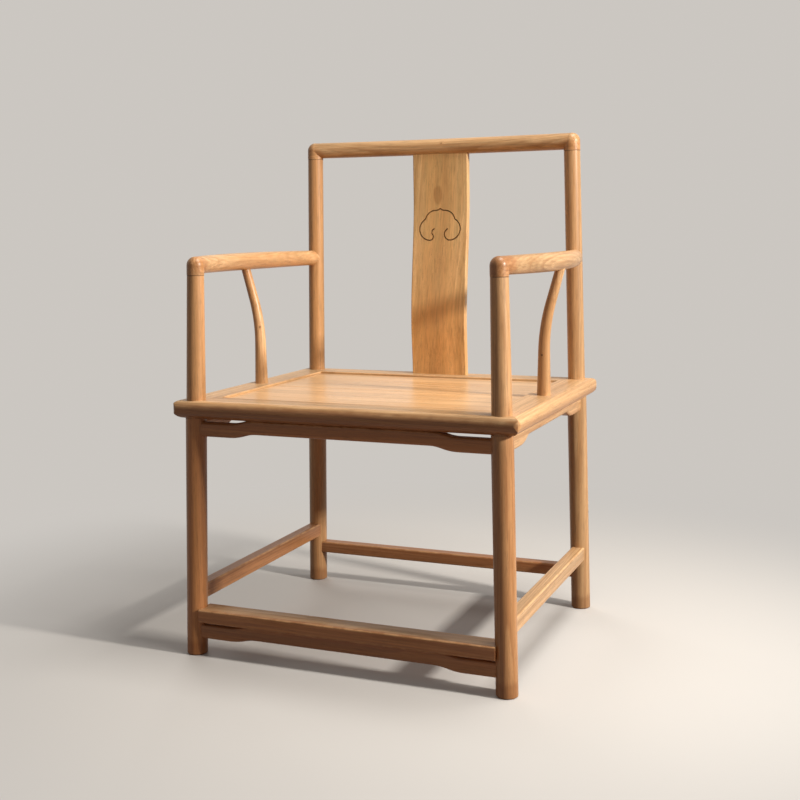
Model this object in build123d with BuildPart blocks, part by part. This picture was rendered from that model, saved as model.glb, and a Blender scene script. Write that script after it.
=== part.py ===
from build123d import *
import math
import os

# An official hat chair: a square-backed armchair of round members, with a mitred seat frame.
# Frame: millimetres, +Z up, the sitter faces -Y, +X is to the right seen from the front,
# origin on the floor under the middle of the chair.

# ------------------------------------------------------------------ driving dimensions
# Seat frame
seat_height = 450.0
seat_width = 618.0
seat_depth = 518.0
rail_width = 62.0
rail_thickness = 31.0
rail_top_radius = 12.0
rail_bottom_radius = 18.0
rail_arris = 0.8
frame_corner_radius = 10.0

# Floating seat boards
board_thickness = 14.0
board_recess = 4.0
board_side_gap = 0.6
board_joint_gap = 2.0
board_arris = 0.8
tongue_thickness = 7.0
tongue_length = 7.5

# Battens under the boards
batten_spacing = 250.0
batten_width = 30.0
batten_depth = 11.0
dovetail_height = 5.5
dovetail_flare = 3.0
batten_tenon_width = 20.0
batten_tenon_thickness = 8.0
batten_tenon_length = 15.0

# Tenons across the mitres of the seat frame
corner_tenon_thickness = 9.0
corner_tenon_wall = 3.0
corner_tenon_cheek = 2.5
corner_tenon_cover = 12.0

# Legs and posts
post_side_inset = 35.0
post_end_inset = 24.5
side_splay = 1.4
fore_splay = 0.95
leg_diameter = 36.0
foot_chamfer = 2.0
front_post_base_diameter = 33.0
front_post_top_diameter = 29.0
back_post_base_diameter = 32.0
back_post_top_diameter = 30.0

# Top rail
top_rail_height = 892.0
top_rail_bow = 15.0

# Armrests
arm_height = 679.0
arm_bow = 32.0
arm_middle_diameter = 32.0
arm_back_diameter = 29.0
arm_sections = 5
arm_tenon_diameter = 12.0
arm_tenon_length = 14.0

# Pipe joints, where a rail turns down over a post
elbow_drop = 17.0
elbow_swell = 0.3
elbow_ease = 0.6
elbow_tenon_width = 14.0
elbow_tenon_length = 20.0

# Struts under the arms
strut_base_diameter = 24.0
strut_top_diameter = 16.5
strut_taper = 1.6
strut_inset = 33.5
strut_straight = 75.0
strut_bend = 85.0
strut_lean = 15.5
strut_sections = 9
strut_foot_tenon_diameter = 12.0
strut_foot_tenon_length = 15.0
strut_head_tenon_diameter = 9.0
strut_head_tenon_length = 9.0

# Back splat
splat_width = 112.0
splat_thickness = 15.0
splat_waist_height = 85.0
splat_waist_set = 5.0
splat_shoulder_drop = 99.0
splat_shoulder_set = 1.0
splat_foot_set = 5.5
splat_foot_housing = 12.0
splat_arris = 1.8
splat_top_bite = 10.5

# Cloud-head ornament cut into the splat, with its notches at this height
cloud_height = 753.0
cloud_notch_half_width = 30.5
cloud_half_width = 42.0
cloud_crown = 17.0
cloud_tip = 3.5
cloud_tip_half_width = 9.5
cloud_drop = 40.5
cloud_foot_half_width = 21.0
cloud_curl_rise = 22.0
cloud_hook_reach = 9.8
cloud_hook_end = 16.5
cloud_kink_reach = 15.0
cloud_kink_bulge = 1.5
cloud_kink_end = 11.0
cloud_groove_width = 2.4
cloud_groove_depth = 3.2

# Hump rails: across the front and back, along the sides, and under the footrest.
# The raised middle is planed flat where it lies against what hangs over it.
hump_depth = 22.0
front_hump_height = 24.3
front_hump_rise = 7.7
front_hump_planed = 1.1
side_hump_height = 26.0
side_hump_rise = 11.5
side_hump_planed = 8.0
footrest_hump_height = 26.0
footrest_hump_rise = 7.0
footrest_hump_planed = 2.0
hump_edge_radius = 5.5
hump_shoulder = 70.0
hump_ramp = 50.0
hump_tenon_width = 10.0
hump_tenon_height = 14.0
hump_tenon_length = 11.0

# Pegs between the hump rails and what lies on them
peg_diameter = 8.0
peg_length = 28.0
front_peg_spacing = 200.0
side_peg_spacing = 140.0
footrest_peg_length = 24.0

# Stretchers
footrest_height = 72.5
footrest_depth = 42.0
footrest_setback = 2.0
footrest_thickness = 23.0
footrest_edge_radius = 2.5
footrest_overlap = 5.0
side_stretcher_height = 110.0
side_stretcher_width = 24.0
side_stretcher_thickness = 26.5
back_stretcher_height = 72.5
back_stretcher_width = 24.0
back_stretcher_thickness = 23.0
stretcher_edge_radius = 3.0
stretcher_tenon_width = 12.0
stretcher_tenon_height = 14.0
stretcher_tenon_length = 24.0
footrest_tenon_width = 16.0

# Clearances, the root of a tenon inside its own rail, and how far a cutter overshoots
fit = 0.1
tip_clearance = 0.5
tenon_root = 6.0
overshoot = 1.0

# ------------------------------------------------------------------ worked-out sizes
seat_bottom = seat_height - rail_thickness
post_half_span = seat_width / 2 - post_side_inset
post_half_depth = seat_depth / 2 - post_end_inset
inner_half_width = seat_width / 2 - rail_width
inner_half_depth = seat_depth / 2 - rail_width
board_top = seat_height - board_recess
board_bottom = board_top - board_thickness
tongue_middle = board_top - board_thickness / 2
groove_depth = tongue_length + tip_clearance
batten_bottom = board_bottom - batten_depth
batten_tenon_middle = board_bottom - batten_depth / 2
side_slope = math.tan(math.radians(side_splay))
fore_slope = math.tan(math.radians(fore_splay))
footrest_bottom = footrest_height - footrest_thickness / 2
strut_span = seat_width / 2 - strut_inset
splat_foot_y = post_half_depth - splat_foot_set
front_hump_low = seat_bottom + front_hump_planed - front_hump_height / 2 - front_hump_rise
side_hump_low = seat_bottom + side_hump_planed - side_hump_height / 2 - side_hump_rise
footrest_hump_low = footrest_bottom + footrest_hump_planed - footrest_hump_height / 2 - footrest_hump_rise

LEFT, RIGHT = -1, 1
FRONT, BACK = -1, 1
SIDE_NAMES = {LEFT: "left", RIGHT: "right"}
END_NAMES = {FRONT: "front", BACK: "back"}
UP = Vector(0, 0, 1)


# ------------------------------------------------------------------ places
def post_point(side, end, height):
    """The point of a leg's axis at a height above the floor."""
    rise = seat_height - height
    x = post_half_span + rise * side_slope
    y = post_half_depth + rise * fore_slope
    return Vector(side * x, end * y, height)


def post_direction(side, end):
    """The direction of a leg's axis, upwards."""
    return Vector(-side * side_slope, -end * fore_slope, 1).normalized()


def post_plane(side, end, height):
    """The plane square to a leg's axis at a height."""
    return Plane(origin=post_point(side, end, height), x_dir=(1, 0, 0), z_dir=post_direction(side, end))


def post_base_diameter(end):
    """Diameter of a post where it passes through the seat frame."""
    if end == FRONT:
        return front_post_base_diameter
    return back_post_base_diameter


def back_post_diameter_at(height):
    """Diameter of the tapering back post at a height."""
    seam_height = top_rail_height - elbow_drop
    share = (height - seat_height) / (seam_height - seat_height)
    return back_post_base_diameter + share * (back_post_top_diameter - back_post_base_diameter)


def arm_ends(side):
    """The arm's axis at the front post and at the back post."""
    return post_point(side, FRONT, arm_height), post_point(side, BACK, arm_height)


def arm_middle(side):
    """The outermost point of the arm's axis."""
    front, back = arm_ends(side)
    return (front + back) * 0.5 + Vector(side * arm_bow, 0, 0)


def top_rail_middle():
    """The rearmost point of the top rail's axis."""
    corner = post_point(RIGHT, BACK, top_rail_height)
    return Vector(0, corner.Y + top_rail_bow, top_rail_height)


# ------------------------------------------------------------------ cutting tools
def leg_tool(side, end, gap=0.0):
    """The round leg below the seat, with a gap around it."""
    with BuildPart(mode=Mode.PRIVATE) as tool:
        with BuildSketch(post_plane(side, end, 0)):
            Circle(leg_diameter / 2 + gap)
        extrude(amount=seat_height, both=True)
    return tool.part


def box_tool(corner_a, corner_b):
    """A square box between two opposite corners."""
    size = [abs(b - a) for a, b in zip(corner_a, corner_b)]
    middle = [(a + b) / 2 for a, b in zip(corner_a, corner_b)]
    with BuildPart(mode=Mode.PRIVATE) as tool:
        with Locations(tuple(middle)):
            Box(*size)
    return tool.part


def cross_tenon(side, end, along, height, width, thickness, length, gap=0.0):
    """Tenon into a leg from a rail that runs along X or Y, or its mortise if gap is given."""
    axis = post_point(side, end, height)
    near = leg_diameter / 2
    half_width = width / 2 + gap
    half_thickness = thickness / 2 + gap
    extra = tip_clearance if gap else 0.0
    if along == "x":
        inner = axis.X - side * (near + tenon_root)
        tip = axis.X - side * (near - length - extra)
        low = (inner, axis.Y - half_width, height - half_thickness)
        high = (tip, axis.Y + half_width, height + half_thickness)
    else:
        inner = axis.Y - end * (near + tenon_root)
        tip = axis.Y - end * (near - length - extra)
        low = (axis.X - half_width, inner, height - half_thickness)
        high = (axis.X + half_width, tip, height + half_thickness)
    return box_tool(low, high)


def peg_tool(x, y, height, length, gap=0.0):
    """A round peg standing across a face at a height, or its hole if gap is given."""
    extra = tip_clearance if gap else 0.0
    with BuildPart(mode=Mode.PRIVATE) as tool:
        with BuildSketch(Plane.XY.offset(height)):
            with Locations((x, y)):
                Circle(peg_diameter / 2 + gap)
        extrude(amount=length / 2 + extra, both=True)
    return tool.part


# ------------------------------------------------------------------ tenons into the legs
def hump_tenon(side, end, along, height, gap=0.0):
    """Tenon at one end of a hump rail, or its mortise."""
    return cross_tenon(
        side, end, along, height, hump_tenon_width, hump_tenon_height, hump_tenon_length, gap
    )


def stretcher_tenon(side, end, along, height, gap=0.0):
    """Tenon at one end of a side or back stretcher, or its mortise."""
    return cross_tenon(
        side, end, along, height, stretcher_tenon_width, stretcher_tenon_height,
        stretcher_tenon_length, gap,
    )


def footrest_tenon(side, gap=0.0):
    """Tenon at one end of the footrest, or its mortise."""
    return cross_tenon(
        side, FRONT, "x", footrest_height, footrest_tenon_width, stretcher_tenon_height,
        stretcher_tenon_length, gap,
    )


def leg_mortises(side, end):
    """Every mortise that the lower leg holds."""
    tools = [
        hump_tenon(side, end, "x", front_hump_low, fit),
        hump_tenon(side, end, "y", side_hump_low, fit),
        stretcher_tenon(side, end, "y", side_stretcher_height, fit),
    ]
    if end == FRONT:
        tools.append(footrest_tenon(side, fit))
        tools.append(hump_tenon(side, FRONT, "x", footrest_hump_low, fit))
    else:
        tools.append(stretcher_tenon(side, BACK, "x", back_stretcher_height, fit))
    return tools


# ------------------------------------------------------------------ armrest layout
def arm_line(side):
    """The arm's bowed axis as a wire, front to back."""
    front, back = arm_ends(side)
    with BuildLine(mode=Mode.PRIVATE) as axis:
        ThreePointArc(front, arm_middle(side), back)
    return axis.line


def arm_round(side, gap=0.0):
    """The tapering round of the arm between the two posts."""
    axis = arm_line(side)
    with BuildPart(mode=Mode.PRIVATE) as tube:
        for number in range(arm_sections):
            station = number / (arm_sections - 1)
            swell = math.sin(math.pi * station)
            straight = front_post_top_diameter + station * (arm_back_diameter - front_post_top_diameter)
            diameter = straight + swell * (arm_middle_diameter - straight)
            with BuildSketch(Plane(origin=axis @ station, x_dir=UP, z_dir=axis % station)):
                Circle(diameter / 2 + gap)
        loft()
    return tube.part


def arm_back_tenon(side, gap=0.0):
    """Round tenon from the arm into the back post, or its hole."""
    axis = arm_line(side)
    near = back_post_diameter_at(arm_height) / 2
    extra = tip_clearance if gap else 0.0
    direction = axis % 1
    start = axis @ 1 - direction * (near + tenon_root)
    with BuildPart(mode=Mode.PRIVATE) as tool:
        with BuildSketch(Plane(origin=start, x_dir=UP, z_dir=direction)):
            Circle(arm_tenon_diameter / 2 + gap)
        extrude(amount=tenon_root + arm_tenon_length + extra)
    return tool.part


def elbow_tenon(side, end, height, gap=0.0):
    """Square tenon on top of a post, or its mortise in the elbow above."""
    extra = tip_clearance if gap else 0.0
    with BuildPart(mode=Mode.PRIVATE) as tool:
        with BuildSketch(post_plane(side, end, height - elbow_drop)):
            Rectangle(elbow_tenon_width + 2 * gap, elbow_tenon_width + 2 * gap)
        extrude(amount=elbow_tenon_length + extra)
    return tool.part


def elbow(side, end, height, diameter):
    """The ball corner and down-turned socket where a rail meets a post, a hair fuller than the rail."""
    radius = diameter / 2 + elbow_swell
    upright = post_plane(side, end, height)
    profile_plane = Plane(origin=upright.origin, x_dir=upright.x_dir, z_dir=-upright.y_dir)
    with BuildPart(mode=Mode.PRIVATE) as corner:
        with BuildSketch(profile_plane):
            with BuildLine():
                Polyline(
                    (0, radius),
                    (0, -elbow_drop),
                    (radius - elbow_ease, -elbow_drop),
                    (radius, elbow_ease - elbow_drop),
                    (radius, 0),
                )
                CenterArc((0, 0), radius, 0, 90)
            make_face()
        revolve(axis=Axis(upright.origin, upright.z_dir))
    return corner.part


# ------------------------------------------------------------------ strut layout
def strut_line(side):
    """Axis of a strut: upright, then bending outwards, then straight to the arm."""
    x = side * strut_span
    bend_start = seat_height + strut_straight
    lean = math.radians(strut_lean)
    radius = strut_bend / lean
    bend_end_z = bend_start + radius * math.sin(lean)
    bend_end_x = x + side * radius * (1 - math.cos(lean))
    head_z = arm_height - arm_middle_diameter / 4
    head_x = bend_end_x + side * (head_z - bend_end_z) * math.tan(lean)
    with BuildLine(mode=Mode.PRIVATE) as axis:
        Line((x, 0, seat_height), (x, 0, bend_start))
        TangentArc((x, 0, bend_start), (bend_end_x, 0, bend_end_z), tangent=(0, 0, 1))
        Line((bend_end_x, 0, bend_end_z), (head_x, 0, head_z))
    return axis.wire()


def strut_foot_tenon(side, gap=0.0):
    """Round tenon under a strut, or its hole in the side rail."""
    extra = tip_clearance if gap else 0.0
    with BuildPart(mode=Mode.PRIVATE) as tool:
        with BuildSketch(Plane.XY.offset(seat_height)):
            with Locations((side * strut_span, 0)):
                Circle(strut_foot_tenon_diameter / 2 + gap)
        extrude(amount=-strut_foot_tenon_length - extra)
    return tool.part


def strut_head_tenon(side, gap=0.0):
    """Round tenon on top of a strut, or its hole in the arm."""
    axis = strut_line(side)
    extra = tip_clearance if gap else 0.0
    direction = axis % 1
    near = arm_middle_diameter / 4
    with BuildPart(mode=Mode.PRIVATE) as tool:
        with BuildSketch(Plane(origin=axis @ 1 - direction * near, x_dir=(0, 1, 0), z_dir=direction)):
            Circle(strut_head_tenon_diameter / 2 + gap)
        extrude(amount=strut_head_tenon_length / 2 + extra, both=True)
    return tool.part


# ------------------------------------------------------------------ pieces
def turned_leg(side, end):
    """One stick: round leg, shoulder under the seat frame, tapered post and top tenon."""
    base_diameter = post_base_diameter(end)
    top_diameter = front_post_top_diameter if end == FRONT else back_post_top_diameter
    top_height = arm_height if end == FRONT else top_rail_height
    with BuildPart() as leg:
        with BuildSketch(post_plane(side, end, 0)):
            Circle(leg_diameter / 2)
        extrude(amount=seat_height, both=True)
        split(bisect_by=Plane.XY.offset(seat_bottom), keep=Keep.BOTTOM)
        split(bisect_by=Plane.XY, keep=Keep.TOP)
        chamfer(leg.edges().group_by(Axis.Z)[0], foot_chamfer)
        with BuildSketch(post_plane(side, end, seat_bottom - rail_thickness)):
            Circle(base_diameter / 2)
        with BuildSketch(post_plane(side, end, seat_height)):
            Circle(base_diameter / 2)
        loft()
        with BuildSketch(post_plane(side, end, seat_height)):
            Circle(base_diameter / 2)
        with BuildSketch(post_plane(side, end, top_height - elbow_drop)):
            Circle(top_diameter / 2)
        loft()
        add(elbow_tenon(side, end, top_height))
        for tool in leg_mortises(side, end):
            add(tool, mode=Mode.SUBTRACT)
        if end == BACK:
            add(arm_back_tenon(side, fit), mode=Mode.SUBTRACT)
    return leg


def make_top_rail():
    """Bowed round rail with a pipe joint at each end and a housing for the splat."""
    left = post_point(LEFT, BACK, top_rail_height)
    right = post_point(RIGHT, BACK, top_rail_height)
    splat_top = top_rail_height - back_post_top_diameter / 2 + splat_top_bite
    with BuildPart() as rail:
        with BuildLine() as axis:
            ThreePointArc(left, top_rail_middle(), right)
        with BuildSketch(Plane(origin=axis.line @ 0, x_dir=UP, z_dir=axis.line % 0)):
            Circle(back_post_top_diameter / 2)
        sweep()
        for side in (LEFT, RIGHT):
            add(elbow(side, BACK, top_rail_height, back_post_top_diameter))
            add(elbow_tenon(side, BACK, top_rail_height, fit), mode=Mode.SUBTRACT)
        middle = top_rail_middle()
        half_width = splat_width / 2 + fit
        half_thickness = splat_thickness / 2 + fit
        add(
            box_tool(
                (-half_width, middle.Y - half_thickness, middle.Z - back_post_top_diameter),
                (half_width, middle.Y + half_thickness, splat_top + tip_clearance),
            ),
            mode=Mode.SUBTRACT,
        )
    return rail


def make_armrest(side):
    """Bowed round arm: pipe joint in front, coped and tenoned behind."""
    with BuildPart() as arm:
        add(arm_round(side))
        add(elbow(side, FRONT, arm_height, front_post_top_diameter))
        with BuildSketch(post_plane(side, BACK, seat_height)):
            Circle(back_post_base_diameter / 2 + fit)
        with BuildSketch(post_plane(side, BACK, top_rail_height - elbow_drop)):
            Circle(back_post_top_diameter / 2 + fit)
        loft(mode=Mode.SUBTRACT)
        add(arm_back_tenon(side))
        add(elbow_tenon(side, FRONT, arm_height, fit), mode=Mode.SUBTRACT)
        add(strut_head_tenon(side, fit), mode=Mode.SUBTRACT)
    return arm


def make_strut(side):
    """Slim strut, thick at its foot, coped to the underside of the arm."""
    axis = strut_line(side)
    with BuildPart() as strut:
        for number in range(strut_sections):
            station = number / (strut_sections - 1)
            share = (1 - station) ** strut_taper
            diameter = strut_top_diameter + share * (strut_base_diameter - strut_top_diameter)
            with BuildSketch(Plane(origin=axis @ station, x_dir=(0, 1, 0), z_dir=axis % station)):
                Circle(diameter / 2)
        loft()
        add(arm_round(side, fit), mode=Mode.SUBTRACT)
        add(strut_foot_tenon(side))
        add(strut_head_tenon(side))
    return strut


def rail_section(plane, outer, outward):
    """Section of a seat rail: round over its outer edge, tucked in below, inner arris eased."""
    inner = outer - outward * rail_width
    bottom_turn = outer - outward * rail_bottom_radius
    top_turn = outer - outward * rail_top_radius
    quarter = outward * 90
    sideways = 90 - quarter
    with BuildSketch(plane, mode=Mode.PRIVATE) as section:
        with BuildLine():
            Line((inner, seat_bottom), (bottom_turn, seat_bottom))
            CenterArc((bottom_turn, seat_bottom + rail_bottom_radius), rail_bottom_radius, -90, quarter)
            Line((outer, seat_bottom + rail_bottom_radius), (outer, seat_height - rail_top_radius))
            CenterArc((top_turn, seat_height - rail_top_radius), rail_top_radius, sideways, quarter)
            Polyline(
                (top_turn, seat_height),
                (inner + outward * rail_arris, seat_height),
                (inner, seat_height - rail_arris),
                (inner, seat_bottom),
            )
        make_face()
    return section.sketch


def corner_waste(side, end):
    """What is rounded off an outer corner of the seat frame, seen from above."""
    centre_x = side * (seat_width / 2 - frame_corner_radius)
    centre_y = end * (seat_depth / 2 - frame_corner_radius)
    reach = frame_corner_radius + overshoot
    with BuildPart(mode=Mode.PRIVATE) as tool:
        with BuildSketch(Plane.XY.offset(seat_bottom - overshoot)):
            with Locations((centre_x + side * reach / 2, centre_y + end * reach / 2)):
                Rectangle(reach, reach)
            with Locations((centre_x, centre_y)):
                Circle(frame_corner_radius, mode=Mode.SUBTRACT)
        extrude(amount=rail_thickness + 2 * overshoot)
    return tool.part


def make_long_rail(end):
    """Front or back rail of the seat frame, mitred, with a tenon at each end."""
    with BuildPart() as rail:
        extrude(rail_section(Plane.YZ, end * seat_depth / 2, end), amount=seat_width / 2, both=True)
        for side in (LEFT, RIGHT):
            split(bisect_by=mitre_plane(side, end), keep=Keep.BOTTOM)
            add(corner_waste(side, end), mode=Mode.SUBTRACT)
            add(corner_tenon(side, end))
            add(post_hole(side, end), mode=Mode.SUBTRACT)
        add(board_groove(), mode=Mode.SUBTRACT)
        peg_y = post_point(RIGHT, end, front_hump_low).Y
        for side in (LEFT, RIGHT):
            add(batten_tenon(side, end, fit), mode=Mode.SUBTRACT)
            peg_x = side * front_peg_spacing / 2
            add(peg_tool(peg_x, peg_y, seat_bottom, peg_length, fit), mode=Mode.SUBTRACT)
        if end == BACK:
            add(splat_foot_tool(fit), mode=Mode.SUBTRACT)
    return rail


def make_side_rail(side):
    """Left or right rail of the seat frame, mitred, with mortises for the long rails."""
    with BuildPart() as rail:
        extrude(rail_section(Plane.XZ, side * seat_width / 2, side), amount=seat_depth / 2, both=True)
        peg_x = post_point(side, BACK, side_hump_low).X
        for end in (FRONT, BACK):
            split(bisect_by=mitre_plane(side, end), keep=Keep.TOP)
            add(corner_waste(side, end), mode=Mode.SUBTRACT)
            add(corner_tenon(side, end, fit), mode=Mode.SUBTRACT)
            add(post_hole(side, end), mode=Mode.SUBTRACT)
            peg_y = end * side_peg_spacing / 2
            add(peg_tool(peg_x, peg_y, seat_bottom, peg_length, fit), mode=Mode.SUBTRACT)
        add(board_groove(), mode=Mode.SUBTRACT)
        add(strut_foot_tenon(side, fit), mode=Mode.SUBTRACT)
    return rail


def mitre_plane(side, end):
    """Upright plane of a corner mitre. Its normal points to the short rail."""
    inner_corner = Vector(side * inner_half_width, end * inner_half_depth, 0)
    outer_corner = Vector(side * seat_width / 2, end * seat_depth / 2, 0)
    line = (outer_corner - inner_corner).normalized()
    normal = Vector(side * abs(line.Y), -end * abs(line.X), 0)
    return Plane(origin=inner_corner, x_dir=line, z_dir=normal)


def corner_tenon(side, end, gap=0.0):
    """Tenon from a long rail across the mitre into the short rail, or its mortise."""
    extra = tip_clearance if gap else 0.0
    root = 0.0 if gap else tenon_root
    post_side = abs(post_point(side, end, seat_height).Y) - post_base_diameter(end) / 2
    low_y = end * (inner_half_depth + corner_tenon_wall - gap)
    high_y = end * (post_side - corner_tenon_wall + gap)
    start = side * (inner_half_width - root)
    tip = side * (seat_width / 2 - corner_tenon_cover + extra)
    bottom = seat_bottom + corner_tenon_cheek - gap
    return box_tool((start, low_y, bottom), (tip, high_y, bottom + corner_tenon_thickness + 2 * gap))


def post_hole(side, end):
    """Round hole for a post through a corner of the seat frame."""
    with BuildPart(mode=Mode.PRIVATE) as tool:
        with BuildSketch(post_plane(side, end, seat_height)):
            Circle(post_base_diameter(end) / 2 + fit)
        extrude(amount=2 * rail_thickness, both=True)
    return tool.part


def board_groove():
    """The groove around the inside of the seat frame, as one slab."""
    half = tongue_thickness / 2 + fit
    reach_x = inner_half_width + groove_depth
    reach_y = inner_half_depth + groove_depth
    return box_tool((-reach_x, -reach_y, tongue_middle - half), (reach_x, reach_y, tongue_middle + half))


def batten_key(side, gap=0.0):
    """Dovetail on top of a batten, or its slot under the boards."""
    x = side * batten_spacing / 2
    half_foot = batten_width / 2 - dovetail_flare + gap
    half_head = batten_width / 2 + gap
    top = board_bottom + dovetail_height + gap
    reach = inner_half_depth - board_side_gap if not gap else inner_half_depth + 2 * tongue_length
    with BuildPart(mode=Mode.PRIVATE) as tool:
        with BuildSketch(Plane.XZ):
            with BuildLine():
                Polyline(
                    (x - half_foot, board_bottom),
                    (x + half_foot, board_bottom),
                    (x + half_head, top),
                    (x - half_head, top),
                    close=True,
                )
            make_face()
        extrude(amount=reach, both=True)
    return tool.part


def batten_tenon(side, end, gap=0.0):
    """Tenon at one end of a batten, or its mortise in the long rail."""
    extra = tip_clearance if gap else 0.0
    x = side * batten_spacing / 2
    half_width = batten_tenon_width / 2 + gap
    half_thickness = batten_tenon_thickness / 2 + gap
    start = end * (inner_half_depth - board_side_gap - tenon_root)
    tip = end * (inner_half_depth + batten_tenon_length + extra)
    return box_tool(
        (x - half_width, start, batten_tenon_middle - half_thickness),
        (x + half_width, tip, batten_tenon_middle + half_thickness),
    )


def make_batten(side):
    """Batten under the boards: dovetail above, tenons at both ends."""
    x = side * batten_spacing / 2
    reach = inner_half_depth - board_side_gap
    with BuildPart() as batten:
        add(
            box_tool(
                (x - batten_width / 2, -reach, batten_bottom),
                (x + batten_width / 2, reach, board_bottom),
            )
        )
        add(batten_key(side))
        for end in (FRONT, BACK):
            add(batten_tenon(side, end))
    return batten


def make_board(end):
    """Half of the seat panel, tongued into the frame, grooved or tongued at the middle joint."""
    half_joint = board_joint_gap / 2
    reach_x = inner_half_width - board_side_gap
    reach_y = inner_half_depth - board_side_gap
    half_tongue = tongue_thickness / 2
    tongue_x = inner_half_width + tongue_length
    tongue_y = inner_half_depth + tongue_length
    with BuildPart() as board:
        add(
            box_tool(
                (-reach_x, end * half_joint, board_bottom),
                (reach_x, end * reach_y, board_top),
            )
        )
        top_edges = board.faces().sort_by(Axis.Z)[-1].edges()
        chamfer(top_edges, board_arris)
        add(
            box_tool(
                (-tongue_x, end * half_joint, tongue_middle - half_tongue),
                (tongue_x, end * tongue_y, tongue_middle + half_tongue),
            )
        )
        if end == FRONT:
            deep = half_joint + groove_depth
            add(
                box_tool(
                    (-tongue_x - overshoot, -deep, tongue_middle - half_tongue - fit),
                    (tongue_x + overshoot, 0, tongue_middle + half_tongue + fit),
                ),
                mode=Mode.SUBTRACT,
            )
        else:
            add(
                box_tool(
                    (-reach_x, -half_joint - tongue_length, tongue_middle - half_tongue),
                    (reach_x, half_joint, tongue_middle + half_tongue),
                )
            )
        for side in (LEFT, RIGHT):
            add(batten_key(side, fit), mode=Mode.SUBTRACT)
    return board


# ------------------------------------------------------------------ splat
def splat_edge(offset):
    """One face of the splat in profile, from the foot housing to the top housing."""
    middle = top_rail_middle()
    top = top_rail_height - back_post_top_diameter / 2 + splat_top_bite
    straight_top = top_rail_height - back_post_top_diameter / 2
    foot = splat_foot_y + offset
    head = middle.Y + offset
    Line((foot, seat_height - splat_foot_housing), (foot, seat_height))
    Spline(
        (foot, seat_height),
        (foot - splat_waist_set, seat_height + splat_waist_height),
        (head + splat_shoulder_set, straight_top - splat_shoulder_drop),
        (head, straight_top),
        tangents=((0, 1), (0, 1)),
    )
    Line((head, straight_top), (head, top))
    return (foot, seat_height - splat_foot_housing), (head, top)


def splat_body(front_offset, back_offset):
    """The splat between two parallel curved faces."""
    with BuildPart(mode=Mode.PRIVATE) as body:
        with BuildSketch(Plane.YZ):
            with BuildLine():
                front_foot, front_head = splat_edge(front_offset)
                back_foot, back_head = splat_edge(back_offset)
                Line(front_foot, back_foot)
                Line(front_head, back_head)
            make_face()
        extrude(amount=splat_width / 2, both=True)
    return body.part


def splat_foot_tool(gap):
    """The housing for the splat's foot in the back rail."""
    half_width = splat_width / 2 + gap
    half_thickness = splat_thickness / 2 + gap
    return box_tool(
        (-half_width, splat_foot_y - half_thickness, seat_height - splat_foot_housing - tip_clearance),
        (half_width, splat_foot_y + half_thickness, seat_height + rail_thickness),
    )


def cloud_cut():
    """The cloud-head line, as a band that stands across the splat."""
    crown_height = cloud_height + cloud_crown
    base_height = cloud_height - cloud_drop
    lobe_height = (cloud_height + base_height) / 2
    with BuildPart(mode=Mode.PRIVATE) as cut:
        with BuildSketch(Plane.XZ.offset(-splat_foot_y)):
            with BuildLine():
                for side in (LEFT, RIGHT):
                    shoulder = (side * cloud_tip_half_width, crown_height)
                    notch = (side * cloud_notch_half_width, cloud_height)
                    foot = (side * cloud_foot_half_width, base_height)
                    TangentArc(shoulder, (0, crown_height + cloud_tip), tangent=(-side, 0))
                    TangentArc(shoulder, notch, tangent=(side, 0))
                    ThreePointArc(notch, (side * cloud_half_width, lobe_height), foot)
                ThreePointArc(
                    (cloud_foot_half_width, base_height),
                    (cloud_hook_reach, base_height + cloud_curl_rise / 2),
                    (cloud_hook_end, base_height + cloud_curl_rise),
                )
                ThreePointArc(
                    (-cloud_foot_half_width, base_height),
                    (cloud_kink_bulge - cloud_kink_reach, base_height + cloud_curl_rise / 4),
                    (-cloud_kink_reach, base_height + cloud_curl_rise / 2),
                )
                ThreePointArc(
                    (-cloud_kink_reach, base_height + cloud_curl_rise / 2),
                    (-cloud_kink_reach - cloud_kink_bulge, base_height + cloud_curl_rise * 3 / 4),
                    (-cloud_kink_end, base_height + cloud_curl_rise),
                )
            trace(line_width=cloud_groove_width)
        extrude(amount=splat_width, both=True)
    return cut.part


def make_splat():
    """S-curved back splat with eased edges and an incised cloud head."""
    half = splat_thickness / 2
    with BuildPart(mode=Mode.PRIVATE) as groove:
        add(cloud_cut())
        add(splat_body(-half - overshoot, -half + cloud_groove_depth), mode=Mode.INTERSECT)
    with BuildPart() as splat:
        add(splat_body(-half, half))
        long_edges = splat.edges().filter_by(GeomType.BSPLINE)
        fillet(long_edges, splat_arris)
        add(groove.part, mode=Mode.SUBTRACT)
    return splat


# ------------------------------------------------------------------ hump rails
def hump_body(plane, half_span, height, rise):
    """A hump rail's body: low at both ends, raised between them, with a rounded section."""
    low_end = half_span - hump_shoulder
    high_end = low_end - hump_ramp
    turn = 2 * math.atan(rise / hump_ramp)
    radius = hump_ramp / (2 * math.sin(turn))
    turn = math.degrees(turn)
    with BuildPart(mode=Mode.PRIVATE) as body:
        with BuildLine(plane) as path:
            near_foot = Line((-half_span, 0), (-low_end, 0))
            lift = JernArc(near_foot @ 1, near_foot % 1, radius, turn)
            level = JernArc(lift @ 1, lift % 1, radius, -turn)
            crown = Line(level @ 1, (high_end, rise))
            fall = JernArc(crown @ 1, crown % 1, radius, -turn)
            settle = JernArc(fall @ 1, fall % 1, radius, turn)
            Line(settle @ 1, (half_span, 0))
        start = plane.from_local_coords((-half_span, 0, 0))
        with BuildSketch(Plane(origin=start, x_dir=plane.z_dir, z_dir=plane.x_dir)):
            RectangleRounded(hump_depth, height, hump_edge_radius)
        sweep(path=path.wire())
    return body.part


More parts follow.
